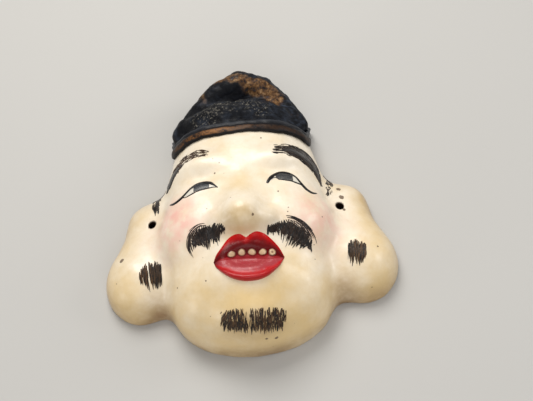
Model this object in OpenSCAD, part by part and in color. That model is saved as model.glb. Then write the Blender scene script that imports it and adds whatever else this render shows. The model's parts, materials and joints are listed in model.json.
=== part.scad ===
// Small wall mask of a laughing lucky god in a soft cap, press-moulded in clay and painted.
// It lies on its back: +Z comes out of the face, +Y runs up to the cap, X runs across it.
// Left and right are as seen when looking at the face, so left is -X.

/* [Clay] */
// Thickness of the clay at the walls that are luted together
wall = 4.5; // [3.5:0.5:6]
// Gap left at each luted joint
joint_gap = 0.2; // [0.05:0.01:0.3]
// Depth of the hollow behind the face
hollow_depth = 26; // [20:1:28]
// Height of the hollow behind each ear
ear_hollow = 7; // [5:0.5:8]
// Thickness of the clay beside the face that the string hole runs through
string_wall = 6.2; // [6:0.1:7]

/* [String holes] */
// Radius of each string hole
string_hole_r = 1.65; // [1:0.05:2]
// Distance from one string hole to the other
string_hole_gap = 80; // [79:0.2:82]
// Height of the string holes on the face, from its widest line
string_hole_y = -2.2; // [-6:0.2:2]

/* [Cap] */
// How much higher the cap's lower edge sits at its sides than over the forehead
cap_rise = 13; // [9:0.5:13]
// How far the cap's peak leans to the right for each step up
cap_lean = 0.12; // [0:0.02:0.2]
// Half the width of the rolled band
band_w = 2.9; // [2:0.1:3.2]
// Height of the rolled band
band_h = 1.5; // [1:0.1:2]

/* [Painted pieces] */
// Thickness of the painted pieces
paint = 0.4; // [0.3:0.05:0.8]
// Gap between a painted piece and the clay
paint_gap = 0.2; // [0.15:0.01:0.3]
// Number of teeth
teeth_count = 5; // [5:1:7]
// Distance from one tooth to the next
teeth_pitch = 3.9; // [3:0.1:4.2]
// Radius of one tooth
tooth_r = 1.5; // [0.9:0.1:1.6]

/* [Smoothness] */
// Steps around the face
face_steps = 72; // [48:8:80]
// Rings from the tip of the nose to the back rim
face_rings = 32; // [24:2:34]

/* [Hidden] */

// The middle of the whole mask is moved onto the frame's Z axis.
centre_y = 3.94;
eps = 0.01;

ivory = "#f0dfb4";
ink = "#1c1815";
cap_black = "#1b1d22";
vermilion = "#b3121d";
rose = "#c04b55";
tooth_cream = "#d9b3a0";
slate = "#4b545e";

// Every rounded mass is [centre, radii, blend]; those with x > 0 stand on both sides.
SKULL = [[0, 6.5, 0], [36, 49.5, 35], 1];
HEAD_MASSES = [
    [[0, -11, 0], [38.5, 49, 35], 6],    // jaw
    [[14, -37, 6], [19, 19, 21], 8],     // jowl
    [[19, -12, 15], [17, 16, 18], 6],    // cheek
    [[0, -34, 17], [19, 16, 18], 6],     // muzzle
    [[0, -49, 14], [16, 10, 15], 6],     // chin
    [[18, 1, 14], [13, 9, 18], 5],       // eyelid
    [[15, 14, 14], [15, 8, 20], 6],      // brow ridge
    [[13, 30, 4], [14.5, 17, 22], 8],      // temple
];
NOSE_TIP = [[0, -15.5, 36.5], [8, 7, 8], 5];
NOSE_WING = [[8.5, -17, 34], [5, 5, 5.5], 4];
LOBE = [[46, -26, 1], [14.5, 15.5, 15], 10];
MOUTH_OPENING = [[1.3, -31.5, 41], [13, 5.5, 10], 2];

CAP_BASE = [[0, 44, 0], [31.5, 9, 30], 1];
CAP_TOP = [[0, 47, 0], [22, 21, 26], 5];
CAP_DENT = [[0, 51.5, 33], [16, 5.5, 13], 4];
CAP_PUFF = [[0, 43, 20], [15, 6.5, 10], 5];
// The rolled peak of the cap, from its middle to its side: [point, radius]
PEAK = [[[0, 61, 21], 6.8], [[9.5, 58.2, 19.4], 6.2], [[18, 52, 16.4], 5], [[27, 43, 12], 3.6]];

HOLLOWS = [[[0, 6, 0], [29, 46, hollow_depth], 1], [[0, -22, 0], [31.5, 34.5, hollow_depth], 8]];
CAP_HOLLOW = [[0, 46, 0], [25, 17, 19]];

// Shortest distances, negative inside. smin blends two of them over the width k.
function smin(a, b, k) = let (h = max(k - abs(a - b), 0) / k) min(a, b) - h * h * k / 4;
function smax(a, b, k) = -smin(-a, -b, k);
function both(p) = [abs(p.x), p.y, p.z];
function egg(p, m) =
    let (d = p - m[0], r = m[1],
         q = [d.x / r.x, d.y / r.y, d.z / r.z],
         g = [q.x / r.x, q.y / r.y, q.z / r.z],
         k = norm(q))
    k * (k - 1) / max(norm(g), eps * eps);
function taper(p, a, b, ra, rb) =
    let (d = b - a, t = min(1, max(0, (p - a) * d / (d * d))))
    norm(p - a - d * t) - ra - (rb - ra) * t;
function blended(p, masses, d, i = 0) =
    i == len(masses) ? d : blended(p, masses, smin(d, egg(p, masses[i]), masses[i][2]), i + 1);

function nose(p) =
    let (q = both(p), ridge = taper(p, [0, 5, 28], [0, -12, 34.5], 5, 7),
         tip = smin(ridge, egg(p, NOSE_TIP), NOSE_TIP[2]))
    smin(tip, egg(q, NOSE_WING), NOSE_WING[2]);
function ear(p) =
    let (q = both(p))
    smin(taper(q, [41.5, 2, 1], [45, -22, 1], 11.5, 13), egg(q, LOBE), LOBE[2]);
// A soft crease, turned by an angle, that sinks the surface by its depth
function crease(q, centre, size, depth, turn = 0) =
    let (d = [q.x - centre.x, q.y - centre.y],
         u = d.x * cos(turn) + d.y * sin(turn), v = d.y * cos(turn) - d.x * sin(turn))
    depth * exp(-pow(u / size.x, 2) - pow(v / size.y, 2));
function face(p) =
    let (q = both(p),
         head = blended(q, HEAD_MASSES, egg(p, SKULL)),
         eared = smin(head, ear(p), 9),
         nosed = smin(eared, nose(p), 4),
         creased = nosed + crease(q, [12, 7.5], [10, 3], 1.2) + crease(q, [15, -26], [3, 8], 0.8, 35))
    smax(creased, -egg(p, MOUTH_OPENING), MOUTH_OPENING[2]);

// The cap's lower edge is level over the forehead and rises towards the back plane.
forehead_y = 31.3;
rise_depth = 10;
function cap_edge_y(z) = forehead_y + cap_rise * exp(-pow(z / rise_depth, 2));
function cap_edge(p) = p.y - cap_edge_y(p.z);
function peak(p, i = 0) =
    let (a = PEAK[i], b = PEAK[i + 1], d = taper(p, a[0], b[0], a[1], b[1]))
    i == len(PEAK) - 2 ? d : min(d, peak(p, i + 1));
function leaned(p) = [p.x - cap_lean * max(0, p.y - CAP_BASE[0].y), p.y, p.z];
function cap(p) =
    let (q = leaned(p), brow_cap = smin(egg(p, CAP_BASE), egg(p, SKULL), 4),
         round_cap = smin(brow_cap, egg(q, CAP_TOP), CAP_TOP[2]),
         peaked = smin(round_cap, peak(both(q)), 4),
         dented = smax(peaked, -egg(q, CAP_DENT), CAP_DENT[2]))
    smin(dented, egg(p, CAP_PUFF), CAP_PUFF[2]);
// The face and the cap together, which the band follows
function face_and_cap(p) = smin(face(p), smax(cap(p), -cap_edge(p), 3), 6);

// The ears are luted on along a leaning line at each side of the face.
function ear_edge(p) = (abs(p.x) - 37 - 0.045 * p.y) / norm([1, 0.045]);

// Each clay piece is cut from a skin by joints, and has a smooth hollow behind it.
FACE = 0;
EAR = 1;
CAP = 2;
FACE_AND_CAP = 3;
function skin_of(piece, p) =
    piece == CAP ? cap(p) : piece == FACE_AND_CAP ? face_and_cap(p) : face(p);
function joint_of(piece, p) =
    joint_gap / 2 + (
        piece == FACE ? max(ear_edge(p), cap_edge(p)) : piece == EAR ? -ear_edge(p) :
        piece == CAP ? -cap_edge(p) : -100
    );
function hollow_of(piece, p) =
    let (inset = joint_of(piece, p) + (piece == EAR ? string_wall : wall))
    piece == FACE ? smax(smin(egg(p, HOLLOWS[0]), egg(p, HOLLOWS[1]), HOLLOWS[1][2]), inset, 3) :
    piece == EAR ? smax(max(ear(p) + wall, inset), p.z - ear_hollow, 2) :
    smax(egg(p, CAP_HOLLOW), inset, 3);

SKIN = 0;
JOINT = 1;
CLAY = 2;
HOLLOW = 3;
function side_of(what, piece, p) =
    what == SKIN ? skin_of(piece, p) :
    what == JOINT ? joint_of(piece, p) :
    what == CLAY ? max(skin_of(piece, p), joint_of(piece, p)) : hollow_of(piece, p);

// How far along a ray a shape ends: halving, then one straight-line step
function reach(what, piece, from, ray, near, far, n = 10) =
    let (mid = (near + far) / 2)
    n == 0 ? let (a = side_of(what, piece, from + ray * near),
                  b = side_of(what, piece, from + ray * far))
        near + (far - near) * (b - a == 0 ? 0.5 : min(1, max(0, -a / (b - a)))) :
    side_of(what, piece, from + ray * mid) < 0 ? reach(what, piece, from, ray, mid, far, n - 1) :
    reach(what, piece, from, ray, near, mid, n - 1);

function ray_at(up, round) = [cos(up) * cos(round), cos(up) * sin(round), sin(up)];

// The height angle at which a joint's face meets the skin, or `usual` where no joint is met
function corner(piece, from, round, usual, low = 0, high = 89, n = 10) =
    let (mid = (low + high) / 2, up = n == 10 ? 0 : mid, ray = ray_at(up, round),
         at = from + ray * reach(JOINT, piece, from, ray, 1, 75),
         under = joint_of(piece, at) > -1 && skin_of(piece, at) < 0)
    n == 10 ? (under ? corner(piece, from, round, usual, 0, 89, 9) : usual) :
    n == 0 ? mid :
    under ? corner(piece, from, round, usual, mid, high, n - 1) :
    corner(piece, from, round, usual, low, mid, n - 1);

// A dome of points over a shape, from the back plane to its crown. Ring `edge_ring` follows
// the corner that a joint cuts into it.
function dome(what, piece, from, steps, rings, edge_ring = 0) =
    let (usual = 90 * edge_ring / rings,
         rounds = [for (j = [0:steps - 1]) 360 * j / steps],
         corners = [for (r = rounds) edge_ring == 0 ? 0 : corner(piece, from, r, usual)])
    [
        for (i = [0:rings]) [
            for (j = [0:steps - 1])
                let (c = corners[j],
                     up = i < edge_ring ? c * i / edge_ring :
                         c + (90 - c) * (i - edge_ring) / (rings - edge_ring),
                     ray = ray_at(up, rounds[j]))
                if (i < rings || j == 0) from + ray * reach(what, piece, from, ray, 1, 75)
        ]
    ];

function flatten(rows) = [for (row = rows) for (p = row) p];
// Triangles over a dome whose first point has the index `at`
function dome_faces(steps, rings, at, inward) = [
    for (i = [0:rings - 1]) for (j = [0:steps - 1])
        let (k = (j + 1) % steps, a = at + i * steps + j, b = at + i * steps + k,
             c = at + (i + 1) * steps + k, d = at + (i + 1) * steps + j,
             tris = i == rings - 1 ? [[a, at + rings * steps, b]] : [[a, c, b], [a, d, c]])
            for (t = tris) inward ? [t[2], t[1], t[0]] : t
];

// A closed clay bowl with an open back, between its outside and its hollow
module bowl(piece, from, steps, rings, edge_ring, hollow_rings) {
    outer = dome(CLAY, piece, from, steps, rings, edge_ring);
    inner = dome(HOLLOW, piece, from, steps, hollow_rings);
    start = steps * rings + 1;
    rim = [
        for (j = [0:steps - 1]) let (k = (j + 1) % steps)
            for (t = [[j, k, start + k], [j, start + k, start + j]]) t
    ];
    polyhedron(
        points = concat(flatten(outer), flatten(inner)),
        faces = concat(
            dome_faces(steps, rings, 0, false),
            dome_faces(steps, hollow_rings, start, true),
            rim
        )
    );
}

// The point of the face above a place on it, and the face's own direction at a point
function on_face(x, y) = [x, y, reach(SKIN, FACE, [x, y, 0], [0, 0, 1], -1, 60, 12)];
function skin_up(p) =
    let (h = 0.3, d = face(p),
         g = [for (step = [[h, 0, 0], [0, h, 0], [0, 0, h]]) face(p + step) - d])
    g / norm(g);

// A thin closed piece on rows of points of a skin, lifted off each along its own way up
module film(feet, ups, lifts, gap = paint_gap) {
    rows = len(feet);
    cols = len(feet[0]);
    under = [for (i = [0:rows - 1]) for (j = [0:cols - 1]) feet[i][j] + ups[i][j] * gap];
    over = [
        for (i = [0:rows - 1]) for (j = [0:cols - 1])
            feet[i][j] + ups[i][j] * (gap + lifts[i][j])
    ];
    n = rows * cols;
    top = [
        for (i = [0:rows - 2]) for (j = [0:cols - 2])
            let (a = n + i * cols + j, b = a + 1, c = b + cols, d = a + cols)
                for (t = [[a, b, c], [a, c, d]]) t
    ];
    bottom = [for (t = top) [t[2] - n, t[1] - n, t[0] - n]];
    edge = concat(
        [for (j = [0:cols - 1]) j],
        [for (i = [1:rows - 1]) i * cols + cols - 1],
        [for (j = [1:cols - 1]) rows * cols - 1 - j],
        [for (i = [1:rows - 2]) (rows - 1 - i) * cols]
    );
    side = [
        for (k = [0:len(edge) - 1])
            let (a = edge[k], b = edge[(k + 1) % len(edge)])
                for (t = [[a, b, b + n], [a, b + n, a + n]]) t
    ];
    polyhedron(points = concat(under, over), faces = concat(top, bottom, side));
}

// A painted piece on the face. Each grid entry is [x, y, extra height].
module painted(grid, thickness = paint, gap = paint_gap) {
    feet = [for (row = grid) [for (g = row) on_face(g.x, g.y)]];
    film(
        feet,
        [for (row = feet) [for (p = row) skin_up(p)]],
        [for (row = grid) [for (g = row) thickness + g.z]],
        gap
    );
}

// A brush stroke along a chain of [x, y, half width], fuller in its middle by `crown`
function stroke(chain, cols = 4, fine = 3, crown = 0) =
    let (n = (len(chain) - 1) * fine)
    [
        for (i = [0:n])
            let (at = min(i / fine, len(chain) - 1 - eps), k = floor(at), f = at - k,
                 a = chain[k], b = chain[k + 1], q = a + (b - a) * f,
                 before = chain[max(k - 1, 0)], after = chain[min(k + 2, len(chain) - 1)],
                 way = (b - before) * (1 - f) + (after - a) * f,
                 side = [-way.y, way.x] / norm([way.x, way.y]))
                [
                    for (j = [0:cols])
                        let (t = 2 * j / cols - 1)
                            [q.x + side.x * q.z * t, q.y + side.y * q.z * t, crown * (1 - t * t)]
                ]
    ];
function flipped(grid) = [
    for (row = grid) [for (j = [len(row) - 1:-1:0]) [-row[j].x, row[j].y, row[j].z]]
];
// side is 1 on the right and -1 on the left
function on_side(grid, side) = side > 0 ? grid : flipped(grid);

module placed(colour) {
    color(colour) translate([0, -centre_y, 0]) children();
}

module face_shell() {
    placed(ivory) bowl(FACE, [0, -12, 0], face_steps, face_rings, 8, 12);
}

module ear_piece(side) {
    placed(ivory) mirror([side > 0 ? 0 : 1, 0, 0]) difference() {
        bowl(EAR, [46, -16, 0], 48, 16, 6, 6);
        translate([string_hole_gap / 2, string_hole_y, -1])
            cylinder(r = string_hole_r, h = 30, $fn = 64);
    }
}

module left_ear() {
    ear_piece(-1);
}

module right_ear() {
    ear_piece(1);
}

module cap_crown() {
    placed(cap_black) bowl(CAP, [0, 51, 0], 60, 22, 6, 8);
}

// Height of the cap's edge where a level ray at a height leaves the mask, closer at each turn
function joint_y(ray, y) = cap_edge_y(ray.z * reach(SKIN, FACE_AND_CAP, [0, y, 0], ray, 1, 60, 12));

// The roll that covers the joint between face and cap
module cap_band() {
    steps = 40;
    cols = 6;
    across = [for (j = [0:cols]) 2 * j / cols - 1];
    rays = [for (i = [0:steps]) let (a = 180 * i / steps) [-cos(a), 0, sin(a)]];
    middles = [for (ray = rays) joint_y(ray, joint_y(ray, joint_y(ray, forehead_y)))];
    feet = [
        for (i = [0:steps]) [
            for (t = across)
                let (from = [0, middles[i] + t * band_w, 0])
                    from + rays[i] * reach(SKIN, FACE_AND_CAP, from, rays[i], 1, 60, 12)
        ]
    ];
    ups = [for (ray = rays) [for (t = across) ray]];
    lifts = [for (ray = rays) [for (t = across) 0.3 + band_h * sqrt(1 - t * t)]];
    placed(cap_black) film(feet, ups, lifts, 0.45);
}

// Half-width of the mouth, how far its middle stands to the right, and the height of its
// middle line at its corners
mouth_w = 13.8;
mouth_x = MOUTH_OPENING[0].x;
corner_y = -31.8;
// A crescent across the mouth between two bows, given by their heights in the middle. It
// ends at the corners `off` above the middle line.
function crescent(lower, upper, crown, off = 0, steps = 20, cols = 4, w = mouth_w, notch = 0) = [
    for (i = [0:steps])
        let (s = 2 * i / steps - 1, bow = 1 - pow(abs(s), 2.2), ends = 0.3 * (1 - bow),
             y = corner_y + off,
             low = y + (lower - y) * bow - ends,
             high = y + (upper - y) * bow + ends - notch * exp(-pow(s / 0.12, 2)))
            [
                for (j = [0:cols])
                    let (t = j / cols)
                        [mouth_x + w * s, low + (high - low) * t, crown * 4 * t * (1 - t) * bow]
            ]
];

// Thickness of the painted bed behind the teeth, and the gaps below and above it
bed_t = 0.5;
bed_gap = 0.35;
tooth_gap = 0.75;
// Height of the middle tooth, and how much the row sinks towards the corners
teeth_y = -30.4;
teeth_sag = 0.2;

module mouth_bed() {
    placed(rose) painted(crescent(-33.6, -28.5, 0, w = mouth_w - 2.5), bed_t, bed_gap);
}

module upper_lip() {
    placed(vermilion) painted(crescent(-28.2, -24.4, 1.0, off = 0.45, notch = 0.7), 0.5);
}

module lower_lip() {
    placed(rose) painted(crescent(-42.6, -34, 1.6, off = -0.45, cols = 6), 0.5);
}

module tooth(x, y) {
    foot = on_face(x, y);
    up = skin_up(foot);
    translate(foot + up * (bed_gap + bed_t + tooth_gap))
        rotate([0, acos(up.z), atan2(up.y, up.x)])
            intersection() {
                sphere(r = tooth_r, $fn = 24);
                translate([-2 * tooth_r, -2 * tooth_r, 0]) cube(4 * tooth_r);
            }
}

module teeth() {
    half = (teeth_count - 1) / 2;
    placed(tooth_cream)
        for (i = [-half:half]) tooth(mouth_x + i * teeth_pitch, teeth_y - teeth_sag * i * i);
}

EYE_LINE = [
    [9.5, -1.4, 0.25], [12, 1.6, 0.6], [16, 4.6, 0.9], [20, 4.6, 0.9],
    [24, 2.4, 0.7], [28, -0.6, 0.5], [31.5, -2.4, 0.25],
];

module eye_line(side) {
    placed(ink) painted(on_side(stroke(EYE_LINE, 2), side));
}

module left_eye_line() {
    eye_line(-1);
}

module right_eye_line() {
    eye_line(1);
}

IRIS = [[14.8, 1.2, 0.8], [16.6, 1.8, 1.2], [18.8, 1.7, 1.3], [21, 0.9, 1.0]];

module iris(side) {
    placed(slate) painted(on_side(stroke(IRIS, 2), side));
}

module left_iris() {
    iris(-1);
}

module right_iris() {
    iris(1);
}

EYEBROW = [
    [14, 18.6, 1.4], [18, 20.6, 2.4], [22.5, 20.6, 2.8], [27, 17.6, 2.6],
    [30.5, 13.4, 1.9], [32.5, 9.8, 0.9],
];

module eyebrow(side) {
    placed(ink) painted(on_side(stroke(EYEBROW, 4), side), gap = 0.3);
}

module left_eyebrow() {
    eyebrow(-1);
}

module right_eyebrow() {
    eyebrow(1);
}

MOUSTACHE = [[7.6, -22.2, 0.8], [11, -20.8, 2.4], [16, -20.8, 3.2], [21, -23.2, 3.0], [25.5, -27, 1.6]];

module moustache(side) {
    placed(ink) painted(on_side(stroke(MOUSTACHE, 4, 3, 0.4), side), gap = 0.3);
}

module left_moustache() {
    moustache(-1);
}

module right_moustache() {
    moustache(1);
}

module chin_beard() {
    placed(ink) painted(stroke([
        [-12.6, -54.2, 1.6], [-9, -54, 2.9], [-4, -54, 3.2], [4, -54, 3.2], [9, -54, 2.9],
        [12.6, -54.2, 1.6],
    ], 4));
}

TEMPLE_LOCK = [[35.2, 13, 0.5], [36.2, 8.5, 1.2], [37, 4, 1.4], [37.4, 0.5, 0.8]];

module temple_lock(side) {
    placed(ink) painted(on_side(stroke(TEMPLE_LOCK, 4), side), gap = 0.9);
}

module left_temple_lock() {
    temple_lock(-1);
}

module right_temple_lock() {
    temple_lock(1);
}

JAW_TUFT = [[42, -20.8, 1.8], [42.2, -24, 3.0], [42.5, -28, 3.0], [42.8, -31.2, 1.8]];

module jaw_tuft(side) {
    placed(ink) painted(on_side(stroke(JAW_TUFT, 4), side));
}

module left_jaw_tuft() {
    jaw_tuft(-1);
}

module right_jaw_tuft() {
    jaw_tuft(1);
}

face_shell();
left_ear();
right_ear();
cap_crown();
cap_band();
mouth_bed();
upper_lip();
lower_lip();
teeth();
left_eye_line();
right_eye_line();
left_iris();
right_iris();
left_eyebrow();
right_eyebrow();
left_moustache();
right_moustache();
chin_beard();
left_temple_lock();
right_temple_lock();
left_jaw_tuft();
right_jaw_tuft();
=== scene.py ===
"""Finished look of a small painted clay wall mask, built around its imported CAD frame.

The clay is one modelled relief, cut at its luted joints into the face, the two ears and the
cap. The roll of the cap, the lips, the teeth and every painted mark are closed pieces of
their own, laid on that relief. Sculpting is done in millimetres with +Z out of the face,
and every finished mesh is moved into the frame in metres.
"""

import json
import logging
import math
from dataclasses import dataclass, field
from enum import Enum
from typing import Callable, Sequence

import bmesh
import bpy
import numpy as np
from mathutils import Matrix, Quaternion, Vector


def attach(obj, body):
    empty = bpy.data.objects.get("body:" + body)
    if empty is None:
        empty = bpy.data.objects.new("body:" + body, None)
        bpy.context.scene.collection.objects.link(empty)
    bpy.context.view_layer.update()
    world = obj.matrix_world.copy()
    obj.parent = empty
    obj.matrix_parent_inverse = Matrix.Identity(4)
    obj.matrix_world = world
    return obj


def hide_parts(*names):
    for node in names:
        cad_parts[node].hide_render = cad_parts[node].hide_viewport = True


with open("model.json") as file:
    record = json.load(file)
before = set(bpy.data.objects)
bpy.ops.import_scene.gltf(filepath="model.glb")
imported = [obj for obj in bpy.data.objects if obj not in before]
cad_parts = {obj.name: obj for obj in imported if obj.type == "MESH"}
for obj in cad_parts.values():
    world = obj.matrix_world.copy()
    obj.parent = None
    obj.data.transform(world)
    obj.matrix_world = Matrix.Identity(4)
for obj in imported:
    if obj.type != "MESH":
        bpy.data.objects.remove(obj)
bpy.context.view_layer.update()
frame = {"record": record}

LOG = logging.getLogger("mask")
MM = 0.001
VOXEL = 0.6
Array = np.ndarray
Solid = Callable[[Array], Array]
Colour = tuple[float, float, float]
Point = tuple[float, float]
Place = tuple[float, float, float]
Socket = bpy.types.NodeSocket
WHITE: Colour = (1.0, 1.0, 1.0)


class Slot(Enum):
    """The record's material slots."""

    IVORY = "ivory_clay"
    CAP = "black_cap"
    VERMILION = "vermilion"
    ROSE = "rose_red"
    TOOTH = "tooth_cream"
    INK = "brush_ink"
    SLATE = "slate"


def paint(red: int, green: int, blue: int) -> Colour:
    """Turns a paint chart colour into linear light.

    Args:
        red: Red from 0 to 255.
        green: Green from 0 to 255.
        blue: Blue from 0 to 255.

    Returns:
        The colour as linear values.
    """
    return tuple(
        c / 12.92 if c <= 0.04045 else ((c + 0.055) / 1.055) ** 2.4
        for c in (red / 255, green / 255, blue / 255)
    )


def smooth_min(a: Array, b: Array, width: float) -> Array:
    """Joins two solids with a rounded fillet.

    Args:
        a: Signed distances to the first solid.
        b: Signed distances to the second solid.
        width: Width over which they blend.

    Returns:
        Signed distances to the joined solid.
    """
    h = np.maximum(width - np.abs(a - b), 0) / width
    return np.minimum(a, b) - h * h * width * 0.25


def smooth_max(a: Array, b: Array, width: float) -> Array:
    """Keeps what two solids share, with a rounded edge; see smooth_min."""
    return -smooth_min(-a, -b, width)


def smooth_step(low: float, high: float, value: Array) -> Array:
    """Rises smoothly from 0 at low to 1 at high."""
    t = np.clip((value - low) / (high - low), 0, 1)
    return t * t * (3 - 2 * t)


def mirrored(p: Array) -> Array:
    """Folds the left half onto the right half.

    Args:
        p: Points.

    Returns:
        The points with their first value made positive.
    """
    q = p.copy()
    q[..., 0] = np.abs(q[..., 0])
    return q


@dataclass(frozen=True)
class Patch:
    """A soft patch on the mask as seen from the front, strongest at its middle."""

    centre: Point
    size: Point
    strength: float = 1.0
    turn: float = 0.0

    def at(self, x: Array, y: Array) -> Array:
        """Gives the patch's strength.

        Args:
            x: Places across the mask.
            y: Places up the mask.

        Returns:
            Its strength at each place.
        """
        dx, dy = x - self.centre[0], y - self.centre[1]
        c, s = math.cos(math.radians(self.turn)), math.sin(math.radians(self.turn))
        along, across = dx * c + dy * s, dy * c - dx * s
        return self.strength * np.exp(-((along / self.size[0]) ** 2) - (across / self.size[1]) ** 2)


@dataclass(frozen=True)
class Wobble:
    """The slight unevenness of clay shaped by hand, as waves of a length and height."""

    size: float
    height: float

    def at(self, p: Array) -> Array:
        """Gives the unevenness.

        Args:
            p: Points.

        Returns:
            A small offset at each point.
        """
        k = 2 * math.pi / self.size
        x, y, z = p[..., 0] * k, p[..., 1] * k, p[..., 2] * k
        first = np.sin(x + 0.6 * y + 1.3) * np.sin(0.9 * y - 0.5 * z + 0.4)
        second = np.sin(1.7 * x - 1.1 * z + 2.1) * np.sin(1.9 * y + 0.7 * x)
        return self.height * (first + 0.5 * second)


@dataclass(frozen=True)
class Egg:
    """An ellipsoid of clay pressed into the relief."""

    centre: Place
    radii: Place
    blend: float = 1.0

    def distance(self, p: Array) -> Array:
        """Gives signed distances to the ellipsoid.

        Args:
            p: Points.

        Returns:
            A distance for each point, negative inside.
        """
        r = np.array(self.radii, p.dtype)
        d = p - np.array(self.centre, p.dtype)
        near = np.sqrt(((d / r) ** 2).sum(-1))
        steep = np.sqrt(((d / (r * r)) ** 2).sum(-1))
        return near * (near - 1) / np.maximum(steep, 1e-6)


@dataclass(frozen=True)
class Roll:
    """A tapering roll of clay between two points."""

    start: Place
    end: Place
    start_radius: float
    end_radius: float

    def distance(self, p: Array) -> Array:
        """Gives signed distances to the roll.

        Args:
            p: Points.

        Returns:
            A distance for each point, negative inside.
        """
        a = np.array(self.start, p.dtype)
        way = np.array(self.end, p.dtype) - a
        t = np.clip(((p - a) @ way) / (way @ way), 0, 1)
        off = p - a - t[..., None] * way
        radius = self.start_radius + (self.end_radius - self.start_radius) * t
        return np.sqrt((off**2).sum(-1)) - radius


@dataclass(frozen=True)
class Relief:
    """The clay of the mask as solids, with its joints and the hollows behind it."""

    skull: Egg = Egg((0, 6.5, 0), (36, 49.5, 35))
    masses: tuple[Egg, ...] = (
        Egg((0, -11, 0), (38.5, 49, 35), 6),
        Egg((14, -37, 6), (19, 19, 21), 8),
        Egg((19, -12, 15), (17, 16, 18), 6),
        Egg((0, -34, 17), (19, 16, 18), 6),
        Egg((0, -49, 14), (16, 10, 15), 6),
        Egg((18, 1, 14), (13, 9, 18), 5),
        Egg((15, 14, 14), (15, 8, 20), 6),
        Egg((13, 30, 4), (14.5, 17, 22), 8),
    )
    nose_ridge: Roll = Roll((0, 5, 28), (0, -12, 34.5), 5, 7)
    nose_tip: Egg = Egg((0, -14.4, 36.2), (8, 7, 8), 5)
    nose_wing: Egg = Egg((8.5, -15.8, 33.6), (5, 5, 5.5), 4)
    ear: Roll = Roll((41.5, 2, 1), (45, -22, 1), 11.5, 13)
    lobe: Egg = Egg((46, -26, 1), (14.5, 15.5, 15), 10)
    mouth: Egg = Egg((1.3, -31.5, 41), (13, 5.5, 10), 2)
    cap_base: Egg = Egg((0, 44, 0), (31.5, 9, 30))
    cap_top: Egg = Egg((0, 47, 0), (22, 21, 26), 5)
    cap_dent: Egg = Egg((0, 51.5, 33), (16, 5.5, 13), 4)
    cap_puff: Egg = Egg((0, 43, 20), (15, 6.5, 10), 5)
    peak: tuple[Roll, ...] = (
        Roll((0, 61, 21), (9.5, 58.2, 19.4), 6.8, 6.2),
        Roll((9.5, 58.2, 19.4), (18, 52, 16.4), 6.2, 5),
        Roll((18, 52, 16.4), (27, 43, 12), 5, 3.6),
    )
    cap_lean: float = 0.12
    creases: tuple[Patch, ...] = (
        Patch((12, 7.5), (10, 3), 1.2),
        Patch((15, -26), (3, 8), 0.8, 35),
        Patch((11, -10.5), (2.4, 5), 0.5, -20),
    )
    face_wobble: Wobble = Wobble(21, 0.12)
    cap_wobbles: tuple[Wobble, ...] = (Wobble(13, 0.3), Wobble(5.5, 0.1))
    hollow_wobble: Wobble = Wobble(9, 0.15)
    ear_blend: float = 9.0
    nose_blend: float = 4.0
    cap_blend: float = 4.0
    joint_blend: float = 6.0
    cap_edge_round: float = 3.0
    hollow_blend: float = 3.0
    ear_hollow_round: float = 2.0
    rim_round: float = 1.2
    back_round: float = 0.8
    hole_round: float = 0.7
    ear_joint_x: float = 37.0
    ear_joint_lean: float = 0.045
    forehead_y: float = 31.3
    cap_rise: float = 13.0
    rise_depth: float = 10.0
    joint_gap: float = 0.1
    hollows: tuple[Egg, ...] = (Egg((0, 6, 0), (29, 46, 26)), Egg((0, -22, 0), (31.5, 34.5, 26), 8))
    cap_hollow: Egg = Egg((0, 46, 0), (25, 17, 19))
    ear_hollow: float = 7.0
    wall: float = 4.5
    string_wall: float = 6.2
    hole_x: float = 40.0
    hole_y: float = -2.2
    hole_radius: float = 1.65

    def ears(self, p: Array) -> Array:
        """Gives signed distances to both ears."""
        q = mirrored(p)
        return smooth_min(self.ear.distance(q), self.lobe.distance(q), self.lobe.blend)

    def face(self, p: Array) -> Array:
        """Gives signed distances to the skin of the face with its ears.

        Args:
            p: Points.

        Returns:
            A distance for each point, negative inside.
        """
        q = mirrored(p)
        d = self.skull.distance(p)
        for mass in self.masses:
            d = smooth_min(d, mass.distance(q), mass.blend)
        d = smooth_min(d, self.ears(p), self.ear_blend)
        nose = smooth_min(self.nose_ridge.distance(p), self.nose_tip.distance(p), self.nose_tip.blend)
        nose = smooth_min(nose, self.nose_wing.distance(q), self.nose_wing.blend)
        d = smooth_min(d, nose, self.nose_blend)
        for crease in self.creases:
            d = d + crease.at(q[..., 0], q[..., 1])
        d = smooth_max(d, -self.mouth.distance(p), self.mouth.blend)
        return d + self.face_wobble.at(p)

    def cap(self, p: Array) -> Array:
        """Gives signed distances to the skin of the cap.

        Args:
            p: Points.

        Returns:
            A distance for each point, negative inside.
        """
        leant = p.copy()
        leant[..., 0] -= self.cap_lean * np.maximum(0, p[..., 1] - self.cap_base.centre[1])
        q = mirrored(leant)
        temple = self.masses[-1]
        brow = smooth_min(self.skull.distance(p), temple.distance(mirrored(p)), temple.blend)
        d = smooth_min(self.cap_base.distance(p), brow, self.cap_blend)
        d = smooth_min(d, self.cap_top.distance(leant), self.cap_top.blend)
        peak = np.minimum.reduce([roll.distance(q) for roll in self.peak])
        d = smooth_min(d, peak, self.cap_blend)
        d = smooth_max(d, -self.cap_dent.distance(leant), self.cap_dent.blend)
        d = smooth_min(d, self.cap_puff.distance(p), self.cap_puff.blend)
        for wobble in self.cap_wobbles:
            d = d + wobble.at(p)
        return d

    def cap_edge_y(self, z: Array) -> Array:
        """Gives the height of the cap's lower edge at a depth."""
        return self.forehead_y + self.cap_rise * np.exp(-((z / self.rise_depth) ** 2))

    def cap_edge(self, p: Array) -> Array:
        """Gives how far points are above the cap's lower edge."""
        return p[..., 1] - self.cap_edge_y(p[..., 2])

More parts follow.
